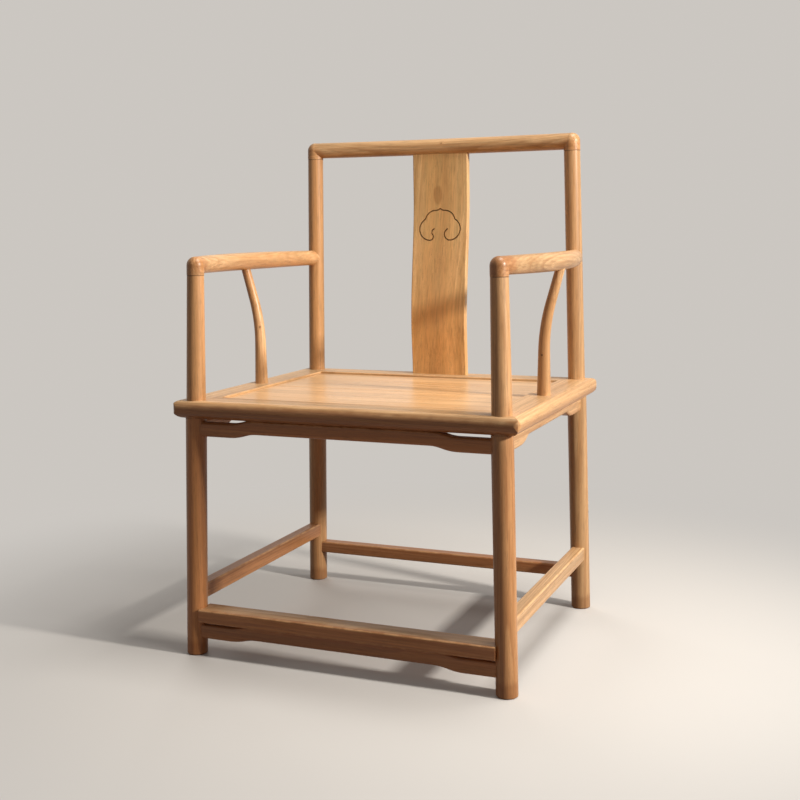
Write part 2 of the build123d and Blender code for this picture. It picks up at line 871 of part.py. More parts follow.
def make_cross_hump(end, height, rise, low_height, hangs_from, peg_span):
    """A hump rail between the two front legs or the two back legs."""
    axis = post_point(RIGHT, end, low_height)
    plane = Plane(origin=(0, axis.Y, low_height), x_dir=(1, 0, 0), z_dir=(0, -1, 0))
    with BuildPart() as rail:
        add(hump_body(plane, axis.X, height, rise))
        split(bisect_by=Plane.XY.offset(hangs_from), keep=Keep.BOTTOM)
        for side in (LEFT, RIGHT):
            add(leg_tool(side, end, fit), mode=Mode.SUBTRACT)
            add(hump_tenon(side, end, "x", low_height))
            add(
                peg_tool(side * front_peg_spacing / 2, axis.Y, hangs_from, peg_span, fit),
                mode=Mode.SUBTRACT,
            )
    return rail


def make_side_hump(side):
    """A hump rail between a front leg and a back leg."""
    axis = post_point(side, BACK, side_hump_low)
    plane = Plane(origin=(axis.X, 0, side_hump_low), x_dir=(0, 1, 0), z_dir=(1, 0, 0))
    with BuildPart() as rail:
        add(hump_body(plane, axis.Y, side_hump_height, side_hump_rise))
        split(bisect_by=Plane.XY.offset(seat_bottom), keep=Keep.BOTTOM)
        for end in (FRONT, BACK):
            add(leg_tool(side, end, fit), mode=Mode.SUBTRACT)
            add(hump_tenon(side, end, "y", side_hump_low))
            add(
                peg_tool(axis.X, end * side_peg_spacing / 2, seat_bottom, peg_length, fit),
                mode=Mode.SUBTRACT,
            )
    return rail


# ------------------------------------------------------------------ stretchers
def make_footrest():
    """Flat footrest, scribed round the front of both legs."""
    axis = post_point(RIGHT, FRONT, footrest_height)
    reach = axis.X - leg_diameter / 2 + footrest_overlap
    peg_y = post_point(RIGHT, FRONT, footrest_hump_low).Y
    with BuildPart() as footrest:
        with BuildSketch(Plane.YZ):
            with Locations((axis.Y + footrest_setback, footrest_height)):
                RectangleRounded(footrest_depth, footrest_thickness, footrest_edge_radius)
        extrude(amount=reach, both=True)
        for side in (LEFT, RIGHT):
            add(leg_tool(side, FRONT, fit), mode=Mode.SUBTRACT)
            add(footrest_tenon(side))
            peg_x = side * front_peg_spacing / 2
            add(peg_tool(peg_x, peg_y, footrest_bottom, footrest_peg_length, fit), mode=Mode.SUBTRACT)
    return footrest


def make_side_stretcher(side):
    """Stretcher between a front leg and a back leg."""
    axis = post_point(side, BACK, side_stretcher_height)
    with BuildPart() as stretcher:
        with BuildSketch(Plane.XZ):
            with Locations((axis.X, side_stretcher_height)):
                RectangleRounded(side_stretcher_width, side_stretcher_thickness, stretcher_edge_radius)
        extrude(amount=axis.Y, both=True)
        for end in (FRONT, BACK):
            add(leg_tool(side, end, fit), mode=Mode.SUBTRACT)
            add(stretcher_tenon(side, end, "y", side_stretcher_height))
    return stretcher


def make_back_stretcher():
    """Stretcher between the back legs."""
    axis = post_point(RIGHT, BACK, back_stretcher_height)
    with BuildPart() as stretcher:
        with BuildSketch(Plane.YZ):
            with Locations((axis.Y, back_stretcher_height)):
                RectangleRounded(back_stretcher_width, back_stretcher_thickness, stretcher_edge_radius)
        extrude(amount=axis.X, both=True)
        for side in (LEFT, RIGHT):
            add(leg_tool(side, BACK, fit), mode=Mode.SUBTRACT)
            add(stretcher_tenon(side, BACK, "x", back_stretcher_height))
    return stretcher


def make_hump_pegs():
    """Loose pegs between the seat frame and its four hump rails."""
    with BuildPart() as pegs:
        for side in (LEFT, RIGHT):
            for end in (FRONT, BACK):
                peg_y = post_point(side, end, front_hump_low).Y
                add(peg_tool(side * front_peg_spacing / 2, peg_y, seat_bottom, peg_length))
                peg_x = post_point(side, end, side_hump_low).X
                add(peg_tool(peg_x, end * side_peg_spacing / 2, seat_bottom, peg_length))
    return pegs


def make_footrest_pegs():
    """Loose pegs between the footrest and its hump rail."""
    with BuildPart() as pegs:
        for side in (LEFT, RIGHT):
            peg_y = post_point(side, FRONT, footrest_hump_low).Y
            add(peg_tool(side * front_peg_spacing / 2, peg_y, footrest_bottom, footrest_peg_length))
    return pegs


# ------------------------------------------------------------------ the chair
def write(piece, name):
    """Label a finished piece and write its STEP file."""
    piece.part.label = name
    export_step(piece.part, f"parts/{name}.step")


os.makedirs("parts", exist_ok=True)

for side in (LEFT, RIGHT):
    for end in (FRONT, BACK):
        write(turned_leg(side, end), f"{END_NAMES[end]}_leg_{SIDE_NAMES[side]}")
    write(make_armrest(side), f"armrest_{SIDE_NAMES[side]}")
    write(make_strut(side), f"arm_strut_{SIDE_NAMES[side]}")
    write(make_side_rail(side), f"seat_rail_{SIDE_NAMES[side]}")
    write(make_side_hump(side), f"hump_rail_{SIDE_NAMES[side]}")
    write(make_side_stretcher(side), f"side_stretcher_{SIDE_NAMES[side]}")
    write(make_batten(side), f"seat_batten_{SIDE_NAMES[side]}")

for end in (FRONT, BACK):
    write(make_long_rail(end), f"seat_rail_{END_NAMES[end]}")
    write(make_board(end), f"seat_board_{END_NAMES[end]}")
    hump = make_cross_hump(
        end, front_hump_height, front_hump_rise, front_hump_low, seat_bottom, peg_length
    )
    write(hump, f"hump_rail_{END_NAMES[end]}")

write(make_top_rail(), "top_rail")
write(make_splat(), "back_splat")
write(make_footrest(), "footrest")
footrest_hump = make_cross_hump(
    FRONT, footrest_hump_height, footrest_hump_rise, footrest_hump_low, footrest_bottom, footrest_peg_length
)
write(footrest_hump, "footrest_hump")
write(make_back_stretcher(), "back_stretcher")
write(make_hump_pegs(), "hump_rail_pegs")
write(make_footrest_pegs(), "footrest_pegs")
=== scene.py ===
"""Looks of an official hat chair: a lacquered elm armchair of round members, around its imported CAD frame.

Every length is in metres, in the frame's own axes: +Z up, the sitter faces -Y, +X to the right seen
from the front. Wood is drawn as a solid: each piece is cut from a log of its own, so rings show as
straight lines on a quartered face, as arches on a flat-sawn one and as circles on end grain.
"""

from __future__ import annotations

import logging
import math
from collections.abc import Mapping, Sequence
from dataclasses import dataclass, field, replace
from enum import Enum

import bpy
from mathutils import Euler, Matrix, Vector

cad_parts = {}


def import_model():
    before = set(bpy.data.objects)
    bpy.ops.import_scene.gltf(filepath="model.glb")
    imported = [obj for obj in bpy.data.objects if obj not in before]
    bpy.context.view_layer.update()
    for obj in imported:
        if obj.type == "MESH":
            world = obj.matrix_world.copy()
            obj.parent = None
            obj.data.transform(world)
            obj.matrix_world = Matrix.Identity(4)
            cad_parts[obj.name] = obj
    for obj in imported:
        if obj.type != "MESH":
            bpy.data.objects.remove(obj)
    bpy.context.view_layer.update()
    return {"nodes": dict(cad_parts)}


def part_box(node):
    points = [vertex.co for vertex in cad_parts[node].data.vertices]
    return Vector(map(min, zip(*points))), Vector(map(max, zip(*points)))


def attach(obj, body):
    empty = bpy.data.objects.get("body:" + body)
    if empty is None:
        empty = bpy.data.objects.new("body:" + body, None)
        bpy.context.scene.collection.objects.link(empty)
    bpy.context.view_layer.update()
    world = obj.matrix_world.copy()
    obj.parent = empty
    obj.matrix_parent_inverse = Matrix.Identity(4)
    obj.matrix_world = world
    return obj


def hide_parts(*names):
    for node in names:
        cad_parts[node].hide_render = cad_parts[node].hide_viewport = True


LOG = logging.getLogger("hat_chair")
BODY = "root"

Colour = tuple[float, float, float]
Triple = tuple[float, float, float]


# ---------------------------------------------------------------- node graphs
class Signal:
    """One output socket of a node, which takes part in Python arithmetic as a number."""

    def __init__(self, graph: NodeGraph, socket: bpy.types.NodeSocket) -> None:
        """Wraps a socket.

        Args:
            graph: the graph that the socket's node stands in.
            socket: the output socket.
        """
        self.graph = graph
        self.socket = socket

    def __add__(self, other: Operand) -> Signal:
        """This number plus another."""
        return self.graph.math("ADD", self, other)

    def __radd__(self, other: Operand) -> Signal:
        """Another number plus this one."""
        return self.graph.math("ADD", other, self)

    def __sub__(self, other: Operand) -> Signal:
        """This number less another."""
        return self.graph.math("SUBTRACT", self, other)

    def __rsub__(self, other: Operand) -> Signal:
        """Another number less this one."""
        return self.graph.math("SUBTRACT", other, self)

    def __mul__(self, other: Operand) -> Signal:
        """This number times another."""
        return self.graph.math("MULTIPLY", self, other)

    def __rmul__(self, other: Operand) -> Signal:
        """Another number times this one."""
        return self.graph.math("MULTIPLY", other, self)

    def __truediv__(self, other: Operand) -> Signal:
        """This number over another."""
        return self.graph.math("DIVIDE", self, other)

    def __rtruediv__(self, other: Operand) -> Signal:
        """Another number over this one."""
        return self.graph.math("DIVIDE", other, self)

    def __pow__(self, other: Operand) -> Signal:
        """This number to a power."""
        return self.graph.math("POWER", self, other)

    def __neg__(self) -> Signal:
        """This number with its sign changed."""
        return self.graph.math("MULTIPLY", self, -1.0)

    def __abs__(self) -> Signal:
        """This number without its sign."""
        return self.graph.math("ABSOLUTE", self)

    def root(self) -> Signal:
        """The square root."""
        return self.graph.math("SQRT", self)

    def whole(self) -> Signal:
        """The largest whole number that isn't above this one."""
        return self.graph.math("FLOOR", self)

    def rest(self) -> Signal:
        """What is left above the whole number."""
        return self.graph.math("FRACT", self)

    def highest(self, other: Operand) -> Signal:
        """The larger of this number and another."""
        return self.graph.math("MAXIMUM", self, other)

    def ramp(self, low: float, high: float, to_low: float = 0.0, to_high: float = 1.0) -> Signal:
        """A smooth step from one level to another.

        Args:
            low: where the step starts.
            high: where it ends.
            to_low: the level before the step.
            to_high: the level after it.

        Returns:
            The stepped number.
        """
        sockets = {"Value": self, "From Min": low, "From Max": high, "To Min": to_low, "To Max": to_high}
        return self.graph.out("ShaderNodeMapRange", {"interpolation_type": "SMOOTHSTEP"}, sockets)


Operand = Signal | float
Link = Signal | float | Sequence[float]


class NodeGraph:
    """A node tree that is written as Python expressions."""

    def __init__(self, tree: bpy.types.NodeTree) -> None:
        """Starts on an existing tree.

        Args:
            tree: the tree that gets the nodes.
        """
        self.tree = tree

    def node(
        self, kind: str, settings: Mapping[str, object], sockets: Mapping[object, Link]
    ) -> bpy.types.Node:
        """Adds a node.

        Args:
            kind: the node's type, such as ShaderNodeMath.
            settings: its properties, such as a Math node's operation, set first.
            sockets: a value or a link for each input, by name or number.

        Returns:
            The new node.
        """
        made = self.tree.nodes.new(kind)
        for name, value in settings.items():
            setattr(made, name, value)
        for key, value in sockets.items():
            if isinstance(value, Signal):
                self.tree.links.new(value.socket, made.inputs[key])
            else:
                made.inputs[key].default_value = value
        return made

    def out(
        self, kind: str, settings: Mapping[str, object], sockets: Mapping[object, Link], output: object = 0
    ) -> Signal:
        """Adds a node and gives one of its outputs.

        Args:
            kind: the node's type.
            settings: its properties.
            sockets: a value or a link for each input.
            output: the output's name or number.

        Returns:
            That output.
        """
        return Signal(self, self.node(kind, settings, sockets).outputs[output])

    def math(self, operation: str, left: Operand, right: Operand = 0.0) -> Signal:
        """Adds a Math node.

        Args:
            operation: what it does.
            left: its first number.
            right: its second number, if it has one.

        Returns:
            The result.
        """
        return self.out("ShaderNodeMath", {"operation": operation}, {0: left, 1: right})

    def vector(self, operation: str, left: Link, right: Link = (0.0, 0.0, 0.0)) -> Signal:
        """Adds a Vector Math node.

        Args:
            operation: what it does.
            left: its first vector.
            right: its second vector, if it has one.

        Returns:
            The resulting vector.
        """
        return self.out("ShaderNodeVectorMath", {"operation": operation}, {0: left, 1: right})

    def parts(self, vector: Signal) -> tuple[Signal, Signal, Signal]:
        """Takes a vector apart.

        Args:
            vector: the vector.

        Returns:
            Its three numbers.
        """
        split = self.node("ShaderNodeSeparateXYZ", {}, {0: vector})
        first, second, third = (Signal(self, socket) for socket in split.outputs)
        return first, second, third

    def length(self, vector: Signal) -> Signal:
        """The length of a vector.

        Args:
            vector: the vector.

        Returns:
            Its length.
        """
        return self.out("ShaderNodeVectorMath", {"operation": "LENGTH"}, {0: vector}, "Value")

    def noise(self, place: Signal, stretch: Triple, detail: float = 2.0, output: int = 0) -> Signal:
        """Cloudy noise, stretched along the axes.

        Args:
            place: where it is read.
            stretch: cells per metre along each axis.
            detail: how many finer layers it has.
            output: 0 for a number, 1 for three at once.

        Returns:
            The noise, about 0.5 on average.
        """
        cell = self.vector("MULTIPLY", place, stretch)
        return self.out("ShaderNodeTexNoise", {}, {"Vector": cell, "Scale": 1.0, "Detail": detail}, output)

    def blend(self, factor: Operand, low: Link, high: Link, mode: str = "MIX") -> Signal:
        """Mixes two colours.

        Args:
            factor: 0 for the first colour, 1 for the second.
            low: the first colour.
            high: the second colour.
            mode: how they mix.

        Returns:
            The mixed colour.
        """
        # A Mix node has sockets for each kind of data. Inputs 6 and 7 and output 2 are its colours.
        first, second = (c if isinstance(c, Signal) else (*c, 1.0) for c in (low, high))
        settings = {"data_type": "RGBA", "blend_type": mode}
        return self.out("ShaderNodeMix", settings, {0: factor, 6: first, 7: second}, 2)


class Shaper:
    """A Geometry Nodes tree with named inputs, which is run once on a host of points and edges."""

    def __init__(self, name: str) -> None:
        """Starts an empty tree.

        Args:
            name: the name of the piece that it makes.
        """
        self.name = name
        self.tree = bpy.data.node_groups.new(name, "GeometryNodeTree")
        self.graph = NodeGraph(self.tree)
        self.values: dict[str, object] = {}
        for way in ("INPUT", "OUTPUT"):
            self.tree.interface.new_socket("Geometry", in_out=way, socket_type="NodeSocketGeometry")
        self.entry = self.graph.node("NodeGroupInput", {}, {})

    @property
    def host(self) -> Signal:
        """The host's points and edges."""
        return Signal(self.graph, self.entry.outputs["Geometry"])

    def given(self, name: str, kind: str, value: object) -> Signal:
        """Adds a named input.

        Args:
            name: its name.
            kind: its type, such as Float, Int or Material.
            value: what it is set to.

        Returns:
            The input.
        """
        item = self.tree.interface.new_socket(name, in_out="INPUT", socket_type=f"NodeSocket{kind}")
        self.values[item.identifier] = value
        return Signal(self.graph, self.entry.outputs[name])

    def make(
        self,
        shape: Signal,
        points: Sequence[Triple],
        edges: Sequence[tuple[int, int]],
        finish: bpy.types.Material,
    ) -> bpy.types.Object:
        """Runs the tree and keeps its result as a plain mesh.

        Args:
            shape: the geometry that the tree gives.
            points: the host's points.
            edges: the host's edges.
            finish: the piece's material.

        Returns:
            The finished piece, at the origin.
        """
        finish_input = self.given("Finish", "Material", finish)
        real = self.graph.out("GeometryNodeRealizeInstances", {}, {"Geometry": shape})
        sockets = {"Geometry": real, "Material": finish_input}
        dressed = self.graph.out("GeometryNodeSetMaterial", {}, sockets)
        self.graph.node("NodeGroupOutput", {}, {0: dressed})
        mesh = bpy.data.meshes.new(f"{self.name}_path")
        mesh.from_pydata(points, edges, [])
        piece = bpy.data.objects.new(self.name, mesh)
        bpy.context.scene.collection.objects.link(piece)
        modifier = piece.modifiers.new("shape", "NODES")
        modifier.node_group = self.tree
        for identifier, value in self.values.items():
            modifier[identifier] = value
        graph = bpy.context.evaluated_depsgraph_get()
        made = bpy.data.meshes.new_from_object(piece.evaluated_get(graph))
        piece.modifiers.clear()
        piece.data = made
        made.name = self.name
        return piece


@dataclass(frozen=True)
class Rod:
    """A round rod along straight runs with rounded bends, thickest at its foot.

    Attributes:
        path: the corners of its axis, from foot to head.
        bend: radius of the bends.
        foot: its radius at the foot.
        head: its radius at the head.
        taper: the power by which it thins.
        sides: the number of sides of its section.
        stations: the number of sections along it.
    """

    path: tuple[Triple, ...]
    bend: float
    foot: float
    head: float
    taper: float
    sides: int = 40
    stations: int = 72

    def build(self, name: str, finish: bpy.types.Material) -> bpy.types.Object:
        """Sweeps the rod.

        Args:
            name: the piece's name.
            finish: its material.

        Returns:
            The piece.
        """
        shaper = Shaper(name)
        graph = shaper.graph
        bend = shaper.given("Bend radius", "Float", self.bend)
        foot = shaper.given("Foot radius", "Float", self.foot)
        head = shaper.given("Head radius", "Float", self.head)
        taper = shaper.given("Taper", "Float", self.taper)
        sides = shaper.given("Sides", "Int", self.sides)
        stations = shaper.given("Stations", "Int", self.stations)
        line = graph.out("GeometryNodeMeshToCurve", {}, {"Mesh": shaper.host})
        sockets = {"Curve": line, "Count": stations, "Radius": bend}
        bent = graph.out("GeometryNodeFilletCurve", {"mode": "POLY"}, sockets)
        axis = graph.out("GeometryNodeResampleCurve", {}, {"Curve": bent, "Count": stations})
        share = graph.out("GeometryNodeSplineParameter", {}, {}, "Factor")
        radius = head + (foot - head) * (1.0 - share) ** taper
        circle = graph.out("GeometryNodeCurvePrimitiveCircle", {}, {"Resolution": sides, "Radius": 1.0})
        sockets = {"Curve": axis, "Profile Curve": circle, "Scale": radius, "Fill Caps": True}
        swept = graph.out("GeometryNodeCurveToMesh", {}, sockets)
        runs = [(number, number + 1) for number in range(len(self.path) - 1)]
        return shaper.make(swept, self.path, runs, finish)


@dataclass(frozen=True)
class PegSet:
    """Fluted pegs of one size with eased ends.

    Attributes:
        centres: their middles.
        length: their length.
        radius: their radius.
        ease: the length over which their ends are eased.
        ease_slope: how much their radius shrinks over that length, as a share of it.
        flutes: the number of flutes.
        flute_depth: the depth of a flute, as a share of the radius.
        stations: the number of sections along a peg.
    """

    centres: tuple[Triple, ...]
    length: float
    radius: float = 0.0040
    ease: float = 0.0012
    ease_slope: float = 0.6
    flutes: int = 12
    flute_depth: float = 0.06
    stations: int = 25

    def build(self, name: str, finish: bpy.types.Material) -> bpy.types.Object:
        """Makes one peg and sets it on each centre.

        Args:
            name: the piece's name.
            finish: its material.

        Returns:
            The piece.
        """
        shaper = Shaper(name)
        graph = shaper.graph
        radius = shaper.given("Radius", "Float", self.radius)
        length = shaper.given("Length", "Float", self.length)
        ease = shaper.given("Ease", "Float", self.ease)
        flutes = shaper.given("Flutes", "Int", self.flutes)
        stations = shaper.given("Stations", "Int", self.stations)
        points = graph.out("GeometryNodeMeshToPoints", {}, {"Mesh": shaper.host})
        top = graph.out("ShaderNodeCombineXYZ", {}, {2: length * 0.5})
        bottom = graph.out("ShaderNodeCombineXYZ", {}, {2: length * -0.5})
        line = graph.out("GeometryNodeCurvePrimitiveLine", {}, {"Start": bottom, "End": top})
        axis = graph.out("GeometryNodeResampleCurve", {}, {"Curve": line, "Count": stations})
        along = graph.out("GeometryNodeSplineParameter", {}, {}, "Length")
        end = graph.math("MINIMUM", along, length - along)
        width = 1.0 - (ease - graph.math("MINIMUM", end, ease)) * self.ease_slope / radius
        valley = radius * (1.0 - self.flute_depth)
        sockets = {"Points": flutes, "Inner Radius": valley, "Outer Radius": radius}
        star = graph.out("GeometryNodeCurveStar", {}, sockets)
        sockets = {"Curve": axis, "Profile Curve": star, "Scale": width, "Fill Caps": True}
        peg = graph.out("GeometryNodeCurveToMesh", {}, sockets)
        flat = graph.out("GeometryNodeSetShadeSmooth", {}, {"Geometry": peg, "Shade Smooth": False})
        pegs = graph.out("GeometryNodeInstanceOnPoints", {}, {"Points": points, "Instance": flat})
        return shaper.make(pegs, self.centres, [], finish)


# ---------------------------------------------------------------- how a piece is cut from its log
class Grain(Enum):
    """The frame axis that a piece's fibres run along, as the turn that brings X there."""

    ACROSS = (0.0, 0.0, 0.0)
    DEEP = (0.0, 0.0, math.pi / 2)
    UPRIGHT = (0.0, -math.pi / 2, 0.0)


@dataclass(frozen=True)
class Sawing:
    """Where a piece lay in its log, and how dark its wood is.

    Attributes:
        heart: from the piece's middle to the log's heart, square to the grain, as two lengths.
        slope: the angles between the fibres and the piece, in degrees.
        tone: how much darker than the rest the piece is, from -1 to 1.
    """

    heart: tuple[float, float]
    slope: tuple[float, float] = (0.0, 0.0)
    tone: float = 0.0

    def stepped(self, number: int, heart_step: tuple[float, float], slope_step: float = 0.0) -> Sawing:
        """Moves on in the log, so that no two like pieces share a figure.

        Args:
            number: which of the like pieces it is.
            heart_step: how much further the heart lies for each piece.
            slope_step: how much more the fibres slope for each piece.

        Returns:
            How that piece lay.
        """
        heart = (self.heart[0] + number * heart_step[0], self.heart[1] + number * heart_step[1])
        return Sawing(heart, (self.slope[0] + number * slope_step, self.slope[1]), self.tone)

    def mirrored(
        self, heart: tuple[int, int] = (1, 1), slope: tuple[int, int] = (1, 1), tone: int = 1
    ) -> Sawing:
        """Turns signs over, for a piece on another side.

        Args:
            heart: the signs of the heart's two lengths.
            slope: the signs of the two slopes.
            tone: the sign of the tone.

        Returns:
            How that piece lay.
        """
        return Sawing(
            (heart[0] * self.heart[0], heart[1] * self.heart[1]),
            (slope[0] * self.slope[0], slope[1] * self.slope[1]),
            tone * self.tone,
        )


@dataclass(frozen=True)
class Knot:
    """A small knot that bends the rings round it.

    Attributes:
        centre: its place in the frame.
        radius: its dark core's radius.
        swirl: how many of its radii away the rings start to bend.
        push: how many rings it pushes aside.
        halo: how many of its radii its dark halo reaches.
        halo_strength: how dark the halo is, from 0 to 1.
        core: how many of its radii the core's soft edge reaches.
    """

    centre: Triple
    radius: float
    swirl: float = 4.5
    push: float = 2.2
    halo: float = 4.0
    halo_strength: float = 0.45
    core: float = 1.6

    def near(self, place: Signal, reach: float) -> Signal:
        """How near the knot is.

        Args:
            place: the place in the frame.
            reach: how many of the knot's radii the nearness reaches.

        Returns:
            1 at the knot's centre, 0 past its reach.
        """
        apart = place.graph.vector("SUBTRACT", place, self.centre)
        return place.graph.length(apart).ramp(0.0, self.radius * reach, 1.0, 0.0)


@dataclass(frozen=True)
class Seam:
    """A glue line that shows dark round a joint.

    Attributes:
        axis: 0, 1 or 2 for the frame's X, Y or Z.
        place: where it crosses that axis.
        half: half its width.
        strength: how dark it is, from 0 to 1.
    """

    axis: int
    place: float
    half: float = 0.0009
    strength: float = 0.75

    def near(self, place: Signal) -> Signal:
        """Draws the seam as a soft line.

        Args:
            place: the place in the frame.

        Returns:
            Its strength on the seam, 0 beside it.
        """
        apart = abs(place.graph.parts(place)[self.axis] - self.place)
        core = 0.3 * self.half
        return apart.ramp(core, self.half, self.strength, 0.0)


@dataclass(frozen=True)
class Patch:
    """A part of a piece that hands, feet or years have changed, or a patch of painted shade.

    Attributes:
        centre: its middle.
        reach: how far it goes along each axis.
        tint: what it multiplies the colour by.
        rough: what it adds to the roughness.
        edge: the share of its reach at which it starts to fade.
        waver: how unevenly it ends.
    """

    centre: Triple
    reach: Triple
    tint: Colour
    rough: float = 0.0
    edge: float = 0.62
    waver: float = 0.35

    def inside(self, place: Signal, cloud: Signal) -> Signal:
        """Draws the patch with an uneven edge.

        Args:
            place: the place in the frame.
            cloud: the noise that makes the edge uneven.

        Returns:
            1 in the patch, 0 past its reach.
        """
        graph = place.graph
        apart = graph.vector("SUBTRACT", place, self.centre)
        apart = graph.length(graph.vector("DIVIDE", apart, self.reach))
        return (apart + self.waver * (cloud - 0.5)).ramp(self.edge, 1.0, 1.0, 0.0)


@dataclass(frozen=True)
class Arc:
    """An arc of an incised line, across the splat and up.

    Attributes:
        start: where it starts.
        middle: a point on it.
        end: where it ends.
        both_sides: whether its mirror image is cut too.
    """

    start: tuple[float, float]
    middle: tuple[float, float]
    end: tuple[float, float]
    both_sides: bool = False

    def near(self, across: Signal, up: Signal, half: float) -> Signal:
        """Draws the arc as a soft line.

        Args:
            across: the place across the splat.
            up: the place up the splat.
            half: half the line's width.

        Returns:
            1 on the arc, 0 beside it.
        """
        first, second, third = (Vector(point) for point in (self.start, self.middle, self.end))
        chord, bulge = third - first, second - first
        double_area = 2.0 * (chord.x * bulge.y - chord.y * bulge.x)
        long_side = bulge.length_squared * Vector((chord.y, -chord.x))
        short_side = chord.length_squared * Vector((bulge.y, -bulge.x))
        centre = first + (long_side - short_side) / -double_area
        radius = (first - centre).length
        side = Vector((-chord.y, chord.x)).normalized() * math.copysign(1.0, double_area)
        x = abs(across) if self.both_sides else across
        apart = abs(((x - centre.x) ** 2.0 + (up - centre.y) ** 2.0).root() - radius)
        height = (x - first.x) * side.x + (up - first.y) * side.y
        core, overlap = 0.45 * half, 0.3 * half
        return apart.ramp(core, half, 1.0, 0.0) * height.ramp(-overlap, 0.0)


@dataclass(frozen=True)
class Incision:
    """Painted shade along the groove of an incised ornament, where its walls and floor fall in shadow.

    Attributes:
        arcs: the ornament's line.
        back: how far back it may reach.
        half: half the width of the darkened line.
        strength: how dark it is, from 0 to 1.
        fade: the depth over which it ends at the back.
    """

    arcs: tuple[Arc, ...]
    back: float
    half: float = 0.0018
    strength: float = 0.60
    fade: float = 0.001

    def trace(self, place: Signal) -> Signal:
        """Draws the painted shade along the whole ornament.

        Args:
            place: the place in the frame.

        Returns:
            Its strength on the line, 0 beside it and behind it.
        """
        across, back, up = place.graph.parts(place)
        drawn, *others = (arc.near(across, up, self.half) for arc in self.arcs)
        for stroke in others:
            drawn = drawn.highest(stroke)
        return drawn * back.ramp(self.back - self.fade, self.back, self.strength, 0.0)


@dataclass(frozen=True)
class Cut:
    """How one piece was sawn from its log, what has happened to it since, and the shade painted on it.

    Attributes:
        grain: the axis that the fibres run along.
        low: the piece's lowest corner.
        high: the piece's highest corner.
        sawing: where it lay in its log.
        knots: the knots that show.
        seams: the glue lines that cross it.
        patches: the parts that have changed, some of them painted shade.
        incision: the painted shade along an ornament that is cut into it, if any.
    """

    grain: Grain
    low: Vector
    high: Vector
    sawing: Sawing
    knots: tuple[Knot, ...] = ()
    seams: tuple[Seam, ...] = ()
    patches: tuple[Patch, ...] = ()
    incision: Incision | None = None

    @property
    def middle(self) -> Vector:
        """The middle of the piece's box."""
        return (self.low + self.high) / 2

    @property
    def half(self) -> Vector:
        """Half the piece's box."""
        return (self.high - self.low) / 2

    def in_log(self, place: Signal) -> Signal:
        """Turns a place in the frame into one in the log.

        Args:
            place: the place in the frame.

        Returns:
            The place with X along the fibres and the log's heart at Y and Z of 0.
        """
        turn = Euler(self.grain.value).to_matrix()
        first, second = (math.radians(angle) for angle in self.sawing.slope)
        turned = tuple((turn @ Euler((0.0, first, second)).to_matrix()).to_euler())
        heart = self.middle + turn @ Vector((0.0, *self.sawing.heart))
        sockets = {"Vector": place, "Location": heart, "Rotation": turned}
        return place.graph.out("ShaderNodeMapping", {"vector_type": "TEXTURE"}, sockets)

    def arris(self, place: Signal) -> Signal:
        """How near the straight arrises of a squared piece are. A round piece has none.

        Args:
            place: the place in the frame.

        Returns:
            1 on an arris, 0 past a few millimetres.
        """
        graph = place.graph
        apart = graph.vector("ABSOLUTE", graph.vector("SUBTRACT", place, self.middle))
        depths = graph.parts(graph.vector("SUBTRACT", self.half, apart))
        along = list(Grain).index(self.grain)
        first, second = (depth for number, depth in enumerate(depths) if number != along)
        worn, untouched = 0.0008, 0.0042
        return first.highest(second).ramp(worn, untouched, 1.0, 0.0)


# ---------------------------------------------------------------- finishes
def shaded(colour: Colour, share: float) -> Colour:
    """A colour times a share, at most white."""
    return tuple(min(1.0, share * channel) for channel in colour)


@dataclass(frozen=True)
class Layer:
    """Cloudy noise in the wood, finer across the fibres than along them.

    Attributes:
        along: cells per metre along the fibres.
        across: cells per metre across them.
        detail: how many finer layers it has.
        step: where the noise starts to climb and where it has. None leaves it as it is.
        level: the levels that it climbs between.
    """

    along: float
    across: float
    detail: float
    step: tuple[float, float] | None = None
    level: tuple[float, float] = (0.0, 1.0)

    def draw(self, place: Signal, output: int = 0) -> Signal:
        """Draws the layer.

        Args:
            place: where it is read, in the log or in the frame.
            output: 0 for a number, 1 for three at once.

        Returns:
            The layer's level.
        """
        stretch = (self.along, self.across, self.across)
        cloud = place.graph.noise(place, stretch, self.detail, output)
        return cloud if self.step is None else cloud.ramp(*self.step, *self.level)


FIBRE = Layer(along=4.0, across=520.0, detail=3.0)
PORE = Layer(along=60.0, across=2200.0, detail=1.0, step=(0.60, 0.70))
DRIFT = Layer(along=1.1, across=9.0, detail=2.0)
RIPPLE = Layer(along=7.0, across=150.0, detail=2.0)
HEARTWOOD = Layer(along=0.8, across=15.0, detail=2.0, step=(0.40, 0.66), level=(0.0, 0.85))
STREAK = Layer(along=1.1, across=95.0, detail=3.0, step=(0.42, 0.66), level=(0.0, 0.62))
VEIN = Layer(along=1.7, across=270.0, detail=3.0, step=(0.46, 0.64))
FLECK = Layer(along=34.0, across=360.0, detail=2.0, step=(0.50, 0.70))
BLOOM = Layer(along=0.9, across=34.0, detail=2.0, step=(0.30, 0.70), level=(0.84, 1.12))
CLOUD = Layer(along=55.0, across=55.0, detail=3.0)


@dataclass(frozen=True)
class Wood:
    """The figure of one piece, as numbers that vary over it.

    Attributes:
        graph: the material's graph.
        cut: how the piece was sawn.
        place: the place in the frame.
        log: the place in the log.
        late: how late in its year the wood is.
        year: the year's own strength.
        fibre: the fibres' fine streaks.
        pore: the open pores.
    """

    graph: NodeGraph
    cut: Cut
    place: Signal
    log: Signal
    late: Signal
    year: Signal
    fibre: Signal
    pore: Signal


